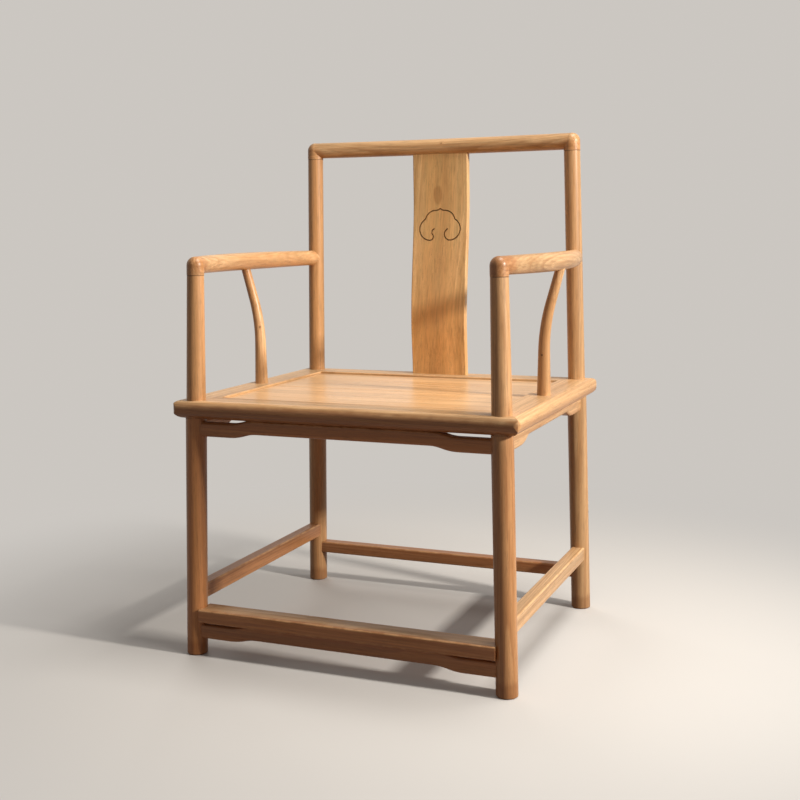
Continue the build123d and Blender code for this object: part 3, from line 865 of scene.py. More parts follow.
@dataclass(frozen=True)
class ElmFinish:
    """Elm under a clear satin lacquer.

    Attributes:
        name: the finish's name.
        slot: the record's material slot.
        pale: colour of the early wood.
        dark: colour of the late wood.
        flush: the redder heartwood that drifts through the board.
        streak: the browner streaks along the fibres.
        ring: thickness of a year's ring.
        wander: how far the rings wander from true circles.
        contrast: how strongly the rings show, from 0 to 1.
        vein: how strongly the fine dark veins show, from 0 to 1.
        gloss: roughness of the bare lacquer.
        coat: weight of the clear coat.
        coat_rough: roughness of the clear coat.
        refraction: index of refraction of the lacquer.
        specular: how strongly the lacquer reflects.
        relief: height of the grain under the lacquer.
        relief_strength: how much of it shows, from 0 to 1.
    """

    name: str
    slot: str
    pale: Colour
    dark: Colour
    flush: Colour
    streak: Colour
    ring: float
    wander: float
    contrast: float
    vein: float
    gloss: float
    coat: float
    coat_rough: float = 0.24
    refraction: float = 1.48
    specular: float = 0.42
    relief: float = 0.00022
    relief_strength: float = 0.30

    def material(self, piece: str, cut: Cut) -> bpy.types.Material:
        """Makes the finish for one piece.

        Args:
            piece: the piece's name.
            cut: how the piece was sawn.

        Returns:
            A material that draws this piece's own grain.
        """
        made = bpy.data.materials.new(f"{self.name}_{piece}")
        made.use_nodes = True
        made.node_tree.nodes.clear()
        wood = self._wood(NodeGraph(made.node_tree), cut)
        colour, rough = self._age(wood, self._knotted(wood, self._colour(wood)), self._roughness(wood))
        sockets = {
            "Base Color": colour,
            "Roughness": rough,
            "Normal": self._relief(wood),
            "IOR": self.refraction,
            "Specular IOR Level": self.specular,
            "Coat Weight": self.coat,
            "Coat Roughness": self.coat_rough,
        }
        shader = wood.graph.out("ShaderNodeBsdfPrincipled", {}, sockets)
        wood.graph.node("ShaderNodeOutputMaterial", {}, {"Surface": shader})
        return made

    def _wood(self, graph: NodeGraph, cut: Cut) -> Wood:
        """Draws the figure that everything else follows.

        Args:
            graph: the material's graph.
            cut: how the piece was sawn.

        Returns:
            The figure.
        """
        place = graph.out("ShaderNodeTexCoord", {}, {}, "Object")
        log = cut.in_log(place)
        late, year = self._rings(graph, log, place, cut)
        early, grown, filled = 0.15, 0.6, 0.2
        pore = PORE.draw(log) * late.ramp(early, grown, 1.0, filled)
        return Wood(graph, cut, place, log, late, year, FIBRE.draw(log), pore)

    def _rings(self, graph: NodeGraph, log: Signal, place: Signal, cut: Cut) -> tuple[Signal, Signal]:
        """Draws the year rings.

        Args:
            graph: the material's graph.
            log: the place in the log.
            place: the place in the frame.
            cut: how the piece was sawn.

        Returns:
            How late in its year the wood is, and the year's own strength.
        """
        drift = graph.vector("SUBTRACT", DRIFT.draw(log, 1), (0.5, 0.5, 0.5))
        drift = graph.vector("MULTIPLY", drift, (0.0, self.wander, self.wander))
        _, across, up = graph.parts(graph.vector("ADD", log, drift))
        ripple = 0.55
        count = (across * across + up * up).root() / self.ring + ripple * RIPPLE.draw(log)
        for knot in cut.knots:
            count = count + knot.push * knot.near(place, knot.swirl)
        part = count.rest()
        spring, winter = 0.10, 0.88
        late = part.ramp(spring, winter) - part.ramp(winter, 1.0)
        year = graph.out("ShaderNodeTexWhiteNoise", {"noise_dimensions": "1D"}, {"W": count.whole()})
        return late, year

    def _colour(self, wood: Wood) -> Signal:
        """Colours the wood, without its knots and its age.

        Args:
            wood: the piece's figure.

        Returns:
            The colour.
        """
        graph, log = wood.graph, wood.log
        faintest = 0.25
        ring = wood.late * (faintest + (1.0 - faintest) * wood.year) * self.contrast
        colour = graph.blend(ring, self.pale, self.dark)
        colour = graph.blend(HEARTWOOD.draw(log), colour, self.flush)
        colour = graph.blend(STREAK.draw(log), colour, self.streak)
        colour = graph.blend(VEIN.draw(log) * self.vein, colour, self.dark)
        fibre_swing, pore_shade, fleck_shade, tone_shade = 0.40, 0.26, 0.16, 0.12
        light = (1.0 + fibre_swing * (wood.fibre - 0.5)) * (1.0 - pore_shade * wood.pore)
        light = light * (1.0 - fleck_shade * FLECK.draw(log)) * BLOOM.draw(log)
        light = light * (1.0 - tone_shade * wood.cut.sawing.tone)
        grey = graph.out("ShaderNodeCombineXYZ", {}, {0: light, 1: light, 2: light})
        return graph.blend(1.0, colour, grey, "MULTIPLY")

    def _knotted(self, wood: Wood, colour: Signal) -> Signal:
        """Darkens the knots.

        Args:
            wood: the piece's figure.
            colour: the wood's colour.

        Returns:
            The colour with the knots in it.
        """
        bark = shaded(self.dark, 0.35)
        soft, solid = 0.25, 0.7
        for knot in wood.cut.knots:
            halo = knot.halo_strength * knot.near(wood.place, knot.halo)
            core = knot.near(wood.place, knot.core).ramp(soft, solid)
            colour = wood.graph.blend(core, wood.graph.blend(halo, colour, self.dark), bark)
        return colour

    def _roughness(self, wood: Wood) -> Signal:
        """How rough the new lacquer is, a little glossier over late wood.

        Args:
            wood: the piece's figure.

        Returns:
            The roughness.
        """
        fibre_swing, pore_rise, late_fall = 0.12, 0.10, 0.04
        return self.gloss + fibre_swing * (wood.fibre - 0.5) + pore_rise * wood.pore - late_fall * wood.late

    def _relief(self, wood: Wood) -> Signal:
        """The grain that can be felt through the lacquer.

        Args:
            wood: the piece's figure.

        Returns:
            The bumped normal.
        """
        fibre_rise, late_rise, pore_fall = 0.5, 0.35, 0.9
        height = fibre_rise * wood.fibre + late_rise * wood.late - pore_fall * wood.pore
        sockets = {"Strength": self.relief_strength, "Distance": self.relief, "Height": height}
        return wood.graph.out("ShaderNodeBump", {}, sockets)

    def _age(self, wood: Wood, colour: Signal, rough: Signal) -> tuple[Signal, Signal]:
        """Adds what joints, use and years have done to the surface, and the painted shade.

        Args:
            wood: the piece's figure.
            colour: its colour.
            rough: its roughness.

        Returns:
            The changed colour and roughness.
        """
        graph, cut, place = wood.graph, wood.cut, wood.place
        cloud = CLOUD.draw(place)
        # Patches of real wear and dirt, and patches of painted shade.
        for patch in cut.patches:
            inside = patch.inside(place, cloud)
            colour = graph.blend(inside, colour, graph.blend(1.0, colour, patch.tint, "MULTIPLY"))
            rough = rough + patch.rough * inside
        least_worn, most_worn = 0.15, 0.8
        rubbed = cut.arris(place) * cloud.ramp(0.35, 0.65, least_worn, most_worn)
        paling, dulling = 0.55, 0.10
        colour = graph.blend(paling * rubbed, colour, shaded(self.pale, 1.18))
        rough = rough + dulling * rubbed
        # Dark glue lines at the joints; the same colour paints shade along the ornament's groove.
        seam_grime_and_groove_shade = shaded(self.dark, 0.30)
        for seam in cut.seams:
            colour = graph.blend(seam.near(place), colour, seam_grime_and_groove_shade)
        # Painted shade along the ornament's groove.
        if cut.incision is not None:
            colour = graph.blend(cut.incision.trace(place), colour, seam_grime_and_groove_shade)
        return colour, rough


FRAME_ELM = ElmFinish(
    name="frame_elm",
    slot="frame_wood",
    pale=(0.74, 0.465, 0.235),
    dark=(0.43, 0.200, 0.070),
    flush=(0.54, 0.265, 0.105),
    streak=(0.50, 0.275, 0.110),
    ring=0.0046,
    wander=0.050,
    contrast=0.66,
    vein=0.46,
    gloss=0.44,
    coat=0.16,
)
PANEL_ELM = ElmFinish(
    name="panel_elm",
    slot="seat_panel",
    pale=(0.80, 0.500, 0.260),
    dark=(0.55, 0.290, 0.118),
    flush=(0.68, 0.385, 0.170),
    streak=(0.64, 0.370, 0.165),
    ring=0.0042,
    wander=0.040,
    contrast=0.50,
    vein=0.40,
    gloss=0.38,
    coat=0.20,
)
SPLAT_ELM = ElmFinish(
    name="splat_elm",
    slot="splat_board",
    pale=(0.82, 0.510, 0.230),
    dark=(0.50, 0.245, 0.082),
    flush=(0.72, 0.385, 0.145),
    streak=(0.64, 0.380, 0.150),
    ring=0.0100,
    wander=0.036,
    contrast=0.62,
    vein=0.22,
    gloss=0.44,
    coat=0.12,
)
BARE_ELM = ElmFinish(
    name="bare_elm",
    slot="hidden_wood",
    pale=(0.58, 0.38, 0.205),
    dark=(0.40, 0.22, 0.105),
    flush=(0.52, 0.31, 0.150),
    streak=(0.50, 0.32, 0.160),
    ring=0.0045,
    wander=0.030,
    contrast=0.55,
    vein=0.30,
    gloss=0.75,
    coat=0.0,
)


# ---------------------------------------------------------------- sub-assemblies
class Side(Enum):
    """Left or right, seen from the front."""

    LEFT = -1
    RIGHT = 1

    @property
    def word(self) -> str:
        """The word that the nodes' names end in."""
        return self.name.lower()


class End(Enum):
    """Front or back."""

    FRONT = -1
    BACK = 1

    @property
    def word(self) -> str:
        """The word that the nodes' names hold."""
        return self.name.lower()


@dataclass
class Assembly:
    """Pieces that are finished together.

    Attributes:
        nodes: the CAD nodes by name.
    """

    nodes: Mapping[str, bpy.types.Object]

    def dress(self) -> None:
        """Finishes the pieces, in each sub-assembly's own way."""
        raise NotImplementedError

    @staticmethod
    def cut(name: str, grain: Grain, sawing: Sawing, **more: object) -> Cut:
        """Settles how a node was sawn.

        Args:
            name: the node.
            grain: the axis that its fibres run along.
            sawing: where it lay in its log.
            more: the other values of the cut.

        Returns:
            The cut.
        """
        low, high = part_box(name)
        return Cut(grain, Vector(low), Vector(high), sawing, **more)

    def finish(self, name: str, elm: ElmFinish, cut: Cut) -> None:
        """Gives a CAD node its material.

        Args:
            name: the node.
            elm: the finish.
            cut: how the piece was sawn.
        """
        node = self.nodes[name]
        node.data.materials.clear()
        node.data.materials.append(elm.material(name, cut))
        LOG.info("finished %s", name)

    @staticmethod
    def stand_in(name: str, shape: Rod | PegSet, elm: ElmFinish, cut: Cut) -> None:
        """Makes a piece anew and lets it stand for its CAD node.

        Args:
            name: the node.
            shape: what the piece is.
            elm: the finish.
            cut: how the piece was sawn.
        """
        piece = shape.build(f"{name}_turned", elm.material(name, cut))
        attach(piece, BODY)
        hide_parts(name)
        LOG.info("made %s", name)


@dataclass
class Uprights(Assembly):
    """The four legs with their posts.

    Attributes:
        seam_rise: how far over a pipe joint's lower edge its glue line lies.
        foot_radius: a leg's radius at the floor.
        foot_reach: how far the floor's dirt has crept round a foot and up it.
        foot_tint: what the dirt does to the colour.
        foot_rough: what it adds to the roughness.
        leg_shade_height: middle of the painted shade on a front leg below the seat.
        leg_shade_reach: how far that painted shade goes.
        leg_shade_tint: the darker, redder colour of that painted shade.
        sawing: how the first leg lay in its log.
        heart_step: how much further the next leg's heart lies.
        slope_step: how much more the next leg's fibres slope.
    """

    seam_rise: float = 0.0004
    foot_radius: float = 0.018
    foot_reach: Triple = (0.05, 0.05, 0.035)
    foot_tint: Colour = (0.74, 0.66, 0.60)
    foot_rough: float = 0.10
    leg_shade_height: float = 0.200
    leg_shade_reach: Triple = (0.10, 0.10, 0.30)
    leg_shade_tint: Colour = (0.78, 0.65, 0.55)
    sawing: Sawing = Sawing((0.030, 0.040), (0.7, 0.5), 0.3)
    heart_step: tuple[float, float] = (0.005, -0.011)
    slope_step: float = -0.4

    def dress(self) -> None:
        """Finishes the legs, each from its own log."""
        joints = {End.FRONT: "armrest_left", End.BACK: "top_rail"}
        for number, (side, end) in enumerate((side, end) for side in Side for end in End):
            name = f"{end.word}_leg_{side.word}"
            seam = Seam(2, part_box(joints[end])[0].z + self.seam_rise)
            sawing = self.sawing.stepped(number, self.heart_step, self.slope_step)
            sawing = sawing.mirrored((side.value, 1), (1, side.value), end.value)
            patches = self._patches(name, side, end)
            cut = self.cut(name, Grain.UPRIGHT, sawing, seams=(seam,), patches=patches)
            self.finish(name, FRAME_ELM, cut)

    def _patches(self, name: str, side: Side, end: End) -> tuple[Patch, ...]:
        """The parts of a leg that years have changed, and the painted shade on a front leg.

        Args:
            name: the leg's node.
            side: the side that it stands on.
            end: the end that it stands at.

        Returns:
            Its foot and, on a front leg, the painted shade above it.
        """
        low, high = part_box(name)
        corner = (high.x if side is Side.RIGHT else low.x, high.y if end is End.BACK else low.y)
        x, y = corner[0] - side.value * self.foot_radius, corner[1] - end.value * self.foot_radius
        foot = Patch((x, y, 0.0), self.foot_reach, self.foot_tint, self.foot_rough)
        # Painted shade, darker and redder, on the front leg below the seat.
        front_leg_shade = Patch((x, y, self.leg_shade_height), self.leg_shade_reach, self.leg_shade_tint)
        return (foot, front_leg_shade) if end is End.FRONT else (foot,)


@dataclass
class Back(Assembly):
    """The top rail and the splat.

    Attributes:
        elbow_place: middle of a pipe joint, in from the rail's end, back from its front, and up.
        elbow_reach: how far the old lacquer goes round it.
        elbow_tint: what the lacquer does to the colour.
        seam_half: half the width of the glue line under a pipe joint.
        pin: the small knot in the rail.
        rail_sawing: how the rail lay in its log.
        splat_sawing: how the splat lay in its log.
        faded: the paler upper part of the splat.
        ripened: its redder foot.
        burr: the soft dark spot over the ornament.
        cloud_head_shade: the painted shade along the ornament's groove in the splat.
    """

    elbow_place: Triple = (0.012, 0.015, 0.878)
    elbow_reach: Triple = (0.032, 0.04, 0.030)
    elbow_tint: Colour = (0.88, 0.76, 0.66)
    seam_half: float = 0.0012
    pin: Knot = Knot((0.0055, 0.2278, 0.898), 0.0016)
    rail_sawing: Sawing = Sawing((0.05, 0.04), (0.3, 0.8), 0.7)
    splat_sawing: Sawing = Sawing((0.030, 0.004), (2.4, 2.0))
    faded: Patch = Patch((0.0, 0.2162, 0.80), (0.09, 0.08, 0.13), (0.98, 1.02, 1.02))
    ripened: Patch = Patch((0.0, 0.2162, 0.50), (0.09, 0.08, 0.12), (1.02, 0.93, 0.82))
    burr: Patch = Patch((-0.005, 0.2354, 0.800), (0.011, 0.03, 0.023), (0.76, 0.69, 0.64))
    # Painted shade along the groove of the cloud-head ornament.
    cloud_head_shade: Incision = Incision(
        arcs=(
            Arc((0.0, 0.7735), (0.00443, 0.770905), (0.0095, 0.7700), both_sides=True),
            Arc((0.0095, 0.7700), (0.02301, 0.76521), (0.0305, 0.7530), both_sides=True),
            Arc((0.0305, 0.7530), (0.0420, 0.73275), (0.0210, 0.7125), both_sides=True),
            Arc((0.0210, 0.7125), (0.0098, 0.7235), (0.0165, 0.7345)),
            Arc((-0.0210, 0.7125), (-0.0135, 0.7180), (-0.0150, 0.7235)),
            Arc((-0.0150, 0.7235), (-0.0165, 0.7290), (-0.0110, 0.7345)),
        ),
        back=0.2395,
    )

    def dress(self) -> None:
        """Finishes the top rail and the splat."""
        low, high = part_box("top_rail")
        inward, back, up = self.elbow_place
        elbows = tuple(
            Patch((side.value * (high.x - inward), low.y + back, up), self.elbow_reach, self.elbow_tint)
            for side in Side
        )
        rail = self.cut(
            "top_rail",
            Grain.ACROSS,
            self.rail_sawing,
            knots=(self.pin,),
            seams=(Seam(2, low.z, self.seam_half),),
            patches=elbows,
        )
        self.finish("top_rail", FRAME_ELM, rail)
        patches = (self.faded, self.ripened, self.burr)
        splat = self.cut(
            "back_splat", Grain.UPRIGHT, self.splat_sawing, patches=patches, incision=self.cloud_head_shade
        )
        self.finish("back_splat", SPLAT_ELM, splat)


@dataclass
class Arms(Assembly):
    """The armrests and their struts.

    Attributes:
        elbow_place: middle of a pipe joint, out from the middle, back from its front, down from its top.
        elbow_reach: how far the old lacquer goes round it.
        elbow_tint: what the lacquer does to the colour.
        seam_half: half the width of the glue line under a pipe joint.
        rub_out: middle of the part that hands rub, out from the middle.
        rub_reach: how far that part goes.
        rub_tint: what hands do to the colour.
        rub_rough: what they add to the roughness.
        arm_sawing: how an armrest lay in its log.
        arm_tones: how much darker the left and the right armrest are.
        strut_foot: foot of a strut's axis, out from the middle and up.
        strut_corner: where its two straight runs would meet.
        strut_head: its head, inside the arm.
        strut_bend: radius of the bend between the runs.
        strut_radii: its radius at the foot and at the head.
        strut_taper: the power by which it thins.
        strut_sawing: how a strut lay in its log.
        strut_marks: the small knots in the left and the right strut.
    """

    elbow_place: Triple = (0.274, 0.014, 0.015)
    elbow_reach: Triple = (0.036, 0.034, 0.032)
    elbow_tint: Colour = (0.86, 0.72, 0.62)
    seam_half: float = 0.0012
    rub_out: float = 0.30
    rub_reach: Triple = (0.05, 0.20, 0.016)
    rub_tint: Colour = (1.05, 1.02, 0.96)
    rub_rough: float = -0.10
    arm_sawing: Sawing = Sawing((0.045, 0.02), (0.6, 0.4))
    arm_tones: tuple[float, float] = (-0.3, 0.9)
    strut_foot: tuple[float, float] = (0.2755, 0.4500)
    strut_corner: tuple[float, float] = (0.2755, 0.56776)
    strut_head: tuple[float, float] = (0.30413, 0.6710)
    strut_bend: float = 0.3142
    strut_radii: tuple[float, float] = (0.0120, 0.00825)
    strut_taper: float = 1.6
    strut_sawing: Sawing = Sawing((0.03, 0.025), (1.0, 1.5), -0.2)
    strut_marks: tuple[Knot, Knot] = (
        Knot((-0.2714, -0.0077, 0.5565), 0.0017),
        Knot((0.2745, -0.0100, 0.5198), 0.0022),
    )

    def dress(self) -> None:
        """Finishes both arms."""
        for side, tone, mark in zip(Side, self.arm_tones, self.strut_marks):
            self._dress_armrest(side, tone)
            self._dress_strut(side, mark)

    def _dress_armrest(self, side: Side, tone: float) -> None:
        """Finishes one armrest.

        Args:
            side: which one.
            tone: how much darker it is.
        """
        name = f"armrest_{side.word}"
        low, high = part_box(name)
        out, back, down = self.elbow_place
        elbow = Patch((side.value * out, low.y + back, high.z - down), self.elbow_reach, self.elbow_tint)
        top = (side.value * self.rub_out, 0.0, high.z)
        rubbed = Patch(top, self.rub_reach, self.rub_tint, self.rub_rough)
        sawing = replace(self.arm_sawing, tone=tone).mirrored(heart=(1, side.value))
        seam = Seam(2, low.z, self.seam_half)
        cut = self.cut(name, Grain.DEEP, sawing, seams=(seam,), patches=(elbow, rubbed))
        self.finish(name, FRAME_ELM, cut)

    def _dress_strut(self, side: Side, mark: Knot) -> None:
        """Turns and bends one strut.

        Args:
            side: which one.
            mark: its small knot.
        """
        name = f"arm_strut_{side.word}"
        sawing = self.strut_sawing.mirrored(slope=(1, side.value))
        cut = self.cut(name, Grain.UPRIGHT, sawing, knots=(mark,))
        corners = (self.strut_foot, self.strut_corner, self.strut_head)
        path = tuple((side.value * out, 0.0, up) for out, up in corners)
        foot, head = self.strut_radii
        rod = Rod(path, bend=self.strut_bend, foot=foot, head=head, taper=self.strut_taper)
        self.stand_in(name, rod, FRAME_ELM, cut)


@dataclass
class Seat(Assembly):
    """The mitred frame, its two floating boards and their battens.

    Attributes:
        front_shade_rise: middle of the painted shade on the front rail's face, over the rail's underside.
        edge_reach: how far that painted shade goes.
        edge_tint: the darker colour of that painted shade.
        sat_reach: how far the part goes that is sat on.
        sat_tint: what sitters do to the colour.
        sat_rough: what they add to the roughness.
        long_sawing: how a long rail lay in its log.
        short_sawing: how a short rail lay in its log.
        board_sawing: how a board lay in its log.
        batten_sawing: how a batten lay in its log.
    """

    front_shade_rise: float = 0.004
    edge_reach: Triple = (0.60, 0.016, 0.028)
    edge_tint: Colour = (0.66, 0.52, 0.42)
    sat_reach: Triple = (0.20, 0.19, 0.01)
    sat_tint: Colour = (1.03, 1.01, 0.98)
    sat_rough: float = -0.08
    long_sawing: Sawing = Sawing((0.09, 0.05), (0.4, 0.7), 0.1)
    short_sawing: Sawing = Sawing((0.08, 0.06), (0.5, 0.6), -0.1)
    board_sawing: Sawing = Sawing((0.03, -0.16), (0.5, 0.6), 0.15)
    batten_sawing: Sawing = Sawing((0.05, 0.04))

    def dress(self) -> None:
        """Finishes the frame, the boards and the battens."""
        for end in End:
            self._dress_long(end)
            self._dress_board(end)
        for side in Side:
            rail = f"seat_rail_{side.word}"
            sawing = self.short_sawing.mirrored(heart=(side.value, 1))
            self.finish(rail, FRAME_ELM, self.cut(rail, Grain.DEEP, sawing))
            batten = f"seat_batten_{side.word}"
            self.finish(batten, BARE_ELM, self.cut(batten, Grain.DEEP, self.batten_sawing))

    def _dress_long(self, end: End) -> None:
        """Finishes one long rail.

        Args:
            end: which one.
        """
        rail = f"seat_rail_{end.word}"
        low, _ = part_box(rail)
        # Painted shade on the front rail's face, kept only for the front rail.
        edge = Patch((0.0, low.y, low.z + self.front_shade_rise), self.edge_reach, self.edge_tint)
        worn = (edge,) if end is End.FRONT else ()
        sawing = self.long_sawing.mirrored(heart=(end.value, 1))
        self.finish(rail, FRAME_ELM, self.cut(rail, Grain.ACROSS, sawing, patches=worn))

    def _dress_board(self, end: End) -> None:
        """Finishes one board.

        Args:
            end: which one.
        """
        board = f"seat_board_{end.word}"
        sat_on = Patch((0.0, 0.0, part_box(board)[1].z), self.sat_reach, self.sat_tint, self.sat_rough)
        sawing = self.board_sawing.mirrored(heart=(end.value, 1), tone=end.value)
        self.finish(board, PANEL_ELM, self.cut(board, Grain.ACROSS, sawing, patches=(sat_on,)))


@dataclass
class Underframe(Assembly):
    """The hump rails, the footrest and the stretchers.

    Attributes:
        across: the rails that run from side to side.
        deep: the rails that run from front to back.
        shade_painted_rails: those of them that carry painted shade, darker and redder.
        red_reach: how far that painted shade goes, in sizes of the rail, so that it covers its corners.
        red_tint: the darker, redder colour of the painted shade.
        footrest_shade_place: middle of the painted shade on the footrest's front face, back from its front
            and over its underside.
        footrest_shade_reach: how far that painted shade goes.
        scuff_place: middle of a scuff on the footrest, out from the middle and back from its front.
        scuff_reach: how far a scuff goes.
        scuff_tint: what shoes do to the colour.
        scuff_rough: what they add to the roughness.
        across_sawing: how the first rail across lay in its log.
        across_step: how much further the next one's heart lies.
        deep_sawing: how the first rail from front to back lay in its log.
        deep_step: how much further the next one's heart lies.
        footrest_sawing: how the footrest lay in its log.
        long_peg: middle of the back right peg over a long hump rail.
        side_peg: middle of the back right peg over a side hump rail.
        footrest_peg: middle of the right peg under the footrest.
        hanger_length: length of a peg over a hump rail.
        footrest_length: length of a peg under the footrest.
        peg_sawing: how the pegs lay in their log.
    """

    across: tuple[str, ...] = ("hump_rail_front", "hump_rail_back", "footrest_hump", "back_stretcher")
    deep: tuple[str, ...] = (
        "hump_rail_left",
        "hump_rail_right",
        "side_stretcher_left",
        "side_stretcher_right",
    )
    shade_painted_rails: tuple[str, ...] = (
        "hump_rail_front",
        "footrest_hump",
        "back_stretcher",
        "side_stretcher_left",
    )
    red_reach: float = 1.5
    red_tint: Colour = (0.70, 0.52, 0.42)
    footrest_shade_place: tuple[float, float] = (-0.002, 0.008)
    footrest_shade_reach: Triple = (0.60, 0.016, 0.028)
    scuff_place: tuple[float, float] = (0.11, 0.008)
    scuff_reach: Triple = (0.10, 0.020, 0.012)
    scuff_tint: Colour = (0.86, 0.84, 0.82)
    scuff_rough: float = 0.16
    across_sawing: Sawing = Sawing((0.05, 0.04), (0.6, 0.5))
    across_step: tuple[float, float] = (0.010, -0.015)
    deep_sawing: Sawing = Sawing((0.04, 0.05), (0.5, 0.7))
    deep_step: tuple[float, float] = (0.012, -0.010)
    footrest_sawing: Sawing = Sawing((0.06, 0.03), (0.4, 0.5))
    long_peg: Triple = (0.1000, 0.23532, 0.4190)
    side_peg: Triple = (0.27516, 0.0700, 0.4190)
    footrest_peg: Triple = (0.1000, -0.24125, 0.0610)
    hanger_length: float = 0.028
    footrest_length: float = 0.024
    peg_sawing: Sawing = Sawing((0.03, 0.03))

    def dress(self) -> None:
        """Finishes every rail under the seat, and its pegs."""
        runs = (
            (self.across, Grain.ACROSS, self.across_sawing, self.across_step),
            (self.deep, Grain.DEEP, self.deep_sawing, self.deep_step),
        )
        for names, grain, sawing, step in runs:
            for number, name in enumerate(names):
                cut = self.cut(name, grain, sawing.stepped(number, step), patches=self._red(name))
                self.finish(name, FRAME_ELM, cut)
        self._dress_footrest()
        self._set_pegs()

    def _red(self, name: str) -> tuple[Patch, ...]:
        """Paints shade, darker and redder, over a whole rail, if it is one of the shaded ones.

        Args:
            name: the node.

        Returns:
            The painted shade over it, or none.
        """
        if name not in self.shade_painted_rails:
            return ()
        low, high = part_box(name)
        # Painted shade over the whole rail.
        return (Patch(tuple((low + high) / 2), tuple(self.red_reach * (high - low)), self.red_tint),)

    def _dress_footrest(self) -> None:
        """Finishes the footrest, with scuffs where shoes rest and painted shade on its front face."""
        low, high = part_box("footrest")
        out, back = self.scuff_place
        soles = [(side.value * out, low.y + back, high.z) for side in Side]
        scuffs = [Patch(sole, self.scuff_reach, self.scuff_tint, self.scuff_rough) for sole in soles]
        # Painted shade, darker and redder, on the footrest's front face.
        back, rise = self.footrest_shade_place
        face = Patch((0.0, low.y + back, low.z + rise), self.footrest_shade_reach, self.red_tint)
        cut = self.cut("footrest", Grain.ACROSS, self.footrest_sawing, patches=(*scuffs, face))
        self.finish("footrest", FRAME_ELM, cut)

    def _set_pegs(self) -> None:
        """Sets the pegs between the hump rails and what they hang from."""
        signs = [(side.value, end.value) for side in Side for end in End]
        hangers = tuple((s * x, e * y, z) for x, y, z in (self.long_peg, self.side_peg) for s, e in signs)
        x, y, z = self.footrest_peg
        under = tuple((side.value * x, y, z) for side in Side)
        sets = {
            "hump_rail_pegs": PegSet(hangers, length=self.hanger_length),
            "footrest_pegs": PegSet(under, length=self.footrest_length),
        }
        for name, pegs in sets.items():
            self.stand_in(name, pegs, BARE_ELM, self.cut(name, Grain.UPRIGHT, self.peg_sawing))


# ---------------------------------------------------------------- studio
@dataclass(frozen=True)
class Lamp:
    """A soft lamp behind a rectangular screen.

    Attributes:
        name: its name.
        place: where it hangs.
        size: the screen's width and height.
        power: in watts.
        colour: its light.
        glossy: whether the lacquer mirrors it.
    """

    name: str
    place: Triple
    size: tuple[float, float]
    power: float
    colour: Colour
    glossy: bool = True

    def hang(self, aim: Vector) -> None:
        """Hangs the lamp.

        Args:
            aim: the point that it faces.
        """
        data = bpy.data.lights.new(self.name, "AREA")
        data.shape = "RECTANGLE"
        data.size, data.size_y = self.size
        data.energy = self.power
        data.color = self.colour
        lamp = bpy.data.objects.new(self.name, data)
        bpy.context.scene.collection.objects.link(lamp)
        lamp.visible_glossy = self.glossy
        lamp.location = self.place
        lamp.rotation_euler = (aim - lamp.location).to_track_quat("-Z", "Y").to_euler()


@dataclass(frozen=True)
class Tripod:
    """The camera and where it stands.

    Attributes:
        place: the camera's place.
        azimuth: how far it stands round to the right, in degrees.
        elevation: how far it looks down, in degrees.
        roll: how far it is turned about its own line of sight, in degrees.
        focal: its focal length, in widths of the square image.
        sensor: width of its sensor, in millimetres.
    """

    place: Triple = (0.8275, -1.9896, 0.7394)
    azimuth: float = 22.4
    elevation: float = 8.2
    roll: float = -0.7
    focal: float = 1.503
    sensor: float = 36.0

    def stand(self) -> None:
        """Puts the camera in its place and makes it the scene's."""
        data = bpy.data.cameras.new("camera")
        data.sensor_width = self.sensor
        data.lens = self.focal * self.sensor
        camera = bpy.data.objects.new("camera", data)
        bpy.context.scene.collection.objects.link(camera)
        turn, rise, tilt = (math.radians(angle) for angle in (self.azimuth, self.elevation, self.roll))
        back = Vector((math.sin(turn) * math.cos(rise), -math.cos(turn) * math.cos(rise), math.sin(rise)))
        level = (-back).cross(Vector((0.0, 0.0, 1.0))).normalized()
        upright = level.cross(-back)
        right = math.cos(tilt) * level + math.sin(tilt) * upright
        up = math.cos(tilt) * upright - math.sin(tilt) * level
        turned = Matrix((right, up, back)).transposed().to_4x4()
        camera.matrix_world = Matrix.Translation(self.place) @ turned
        bpy.context.scene.camera = camera


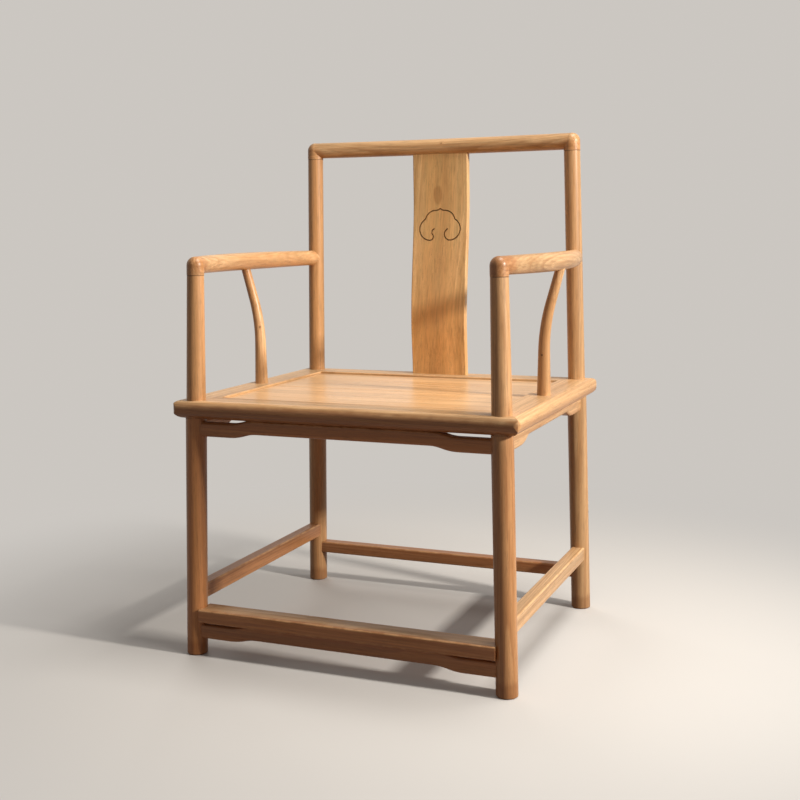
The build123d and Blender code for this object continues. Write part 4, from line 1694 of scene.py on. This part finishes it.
@dataclass
class Studio:
    """The pale floor, the soft lights and the camera.

    Attributes:
        floor_half: half the floor's side.
        floor_colour: the floor as it is seen.
        floor_rough: its roughness.
        bounce_colour: the light that the floor sends back up to the chair.
        air_colour: the colour of the light from all round.
        air_level: its strength.
        backdrop_colour: what stands behind the chair.
        fade: where the floor starts to turn into the backdrop, and where it has.
        aim: the point that the lamps face.
        lamps: the lamps.
        tripod: the camera's stand.
    """

    floor_half: float = 30.0
    floor_colour: Colour = (0.60, 0.575, 0.545)
    floor_rough: float = 0.7
    bounce_colour: Colour = (0.15, 0.075, 0.040)
    air_colour: Colour = (1.0, 0.965, 0.925)
    air_level: float = 0.15
    backdrop_colour: Colour = (0.60, 0.570, 0.535)
    fade: tuple[float, float] = (0.45, 1.30)
    aim: Vector = field(default_factory=lambda: Vector((0.0, 0.0, 0.5)))
    lamps: tuple[Lamp, ...] = (
        Lamp("window", (2.4, -0.32, 1.44), (0.18, 0.18), 78.0, (1.0, 0.955, 0.89)),
        Lamp("skylight", (0.7, -0.02, 2.5), (1.1, 0.8), 37.0, (1.0, 0.97, 0.93)),
        Lamp("rear", (-1.9, 2.3, 1.7), (1.6, 1.2), 30.0, (1.0, 0.98, 0.96), glossy=False),
    )
    tripod: Tripod = Tripod()

    def build(self) -> None:
        """Makes the floor, the lights, the air and the camera."""
        self._floor()
        self._air()
        for lamp in self.lamps:
            lamp.hang(self.aim)
        self.tripod.stand()

    @staticmethod
    def _is_seen(graph: NodeGraph) -> Signal:
        """Tells what the camera, gloss and glass see from what lights the chair.

        Args:
            graph: the graph of the floor or the air.

        Returns:
            1 for rays that show, 0 for rays that light.
        """
        path = graph.node("ShaderNodeLightPath", {}, {})
        kinds = ("Is Camera Ray", "Is Glossy Ray", "Is Transmission Ray")
        camera, gloss, glass = (Signal(graph, path.outputs[name]) for name in kinds)
        return camera.highest(gloss).highest(glass)

    def _floor(self) -> None:
        """Lays the floor, which fades into the backdrop round the chair."""
        half = self.floor_half
        mesh = bpy.data.meshes.new("floor")
        corners = [(-half, -half, 0.0), (half, -half, 0.0), (half, half, 0.0), (-half, half, 0.0)]
        mesh.from_pydata(corners, [], [(0, 1, 2, 3)])
        floor = bpy.data.objects.new("floor", mesh)
        bpy.context.scene.collection.objects.link(floor)
        made = bpy.data.materials.new("floor")
        made.use_nodes = True
        made.node_tree.nodes.clear()
        graph = NodeGraph(made.node_tree)
        place = graph.out("ShaderNodeTexCoord", {}, {}, "Object")
        far = graph.length(place).ramp(*self.fade)
        sockets = {"Base Color": (*self.floor_colour, 1.0), "Roughness": self.floor_rough}
        laid = graph.out("ShaderNodeBsdfPrincipled", {}, sockets)
        pale = graph.out("ShaderNodeEmission", {}, {"Color": (*self.backdrop_colour, 1.0)})
        shown = graph.out("ShaderNodeMixShader", {}, {0: far, 1: laid, 2: pale})
        bounce = graph.out("ShaderNodeBsdfDiffuse", {}, {"Color": (*self.bounce_colour, 1.0)})
        both = graph.out("ShaderNodeMixShader", {}, {0: self._is_seen(graph), 1: bounce, 2: shown})
        graph.node("ShaderNodeOutputMaterial", {}, {"Surface": both})
        mesh.materials.append(made)

    def _air(self) -> None:
        """Lights the scene from all round, and shows a pale backdrop to the camera and in gloss."""
        world = bpy.data.worlds.new("air")
        world.use_nodes = True
        world.node_tree.nodes.clear()
        graph = NodeGraph(world.node_tree)
        sockets = {"Color": (*self.air_colour, 1.0), "Strength": self.air_level}
        soft = graph.out("ShaderNodeBackground", {}, sockets)
        sockets = {"Color": (*self.backdrop_colour, 1.0), "Strength": 1.0}
        pale = graph.out("ShaderNodeBackground", {}, sockets)
        mixed = graph.out("ShaderNodeMixShader", {}, {0: self._is_seen(graph), 1: soft, 2: pale})
        graph.node("ShaderNodeOutputWorld", {}, {"Surface": mixed})
        bpy.context.scene.world = world


# ---------------------------------------------------------------- the chair
@dataclass
class HatChair:
    """The whole chair.

    Attributes:
        nodes: the CAD nodes by name.
        assemblies: its sub-assemblies, in the order in which they are finished.
    """

    nodes: Mapping[str, bpy.types.Object]
    assemblies: list[Assembly] = field(default_factory=list)

    def dress(self) -> None:
        """Finishes each sub-assembly in turn."""
        self.assemblies = [kind(self.nodes) for kind in (Uprights, Back, Arms, Seat, Underframe)]
        for assembly in self.assemblies:
            assembly.dress()


def main() -> None:
    """Loads the frame, finishes the chair and sets up the studio."""
    logging.basicConfig(level=logging.INFO, format="%(name)s: %(message)s")
    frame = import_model()
    HatChair(frame["nodes"]).dress()
    Studio().build()
    bpy.context.scene.view_settings.view_transform = "Standard"


if __name__ == "__main__":
    main()
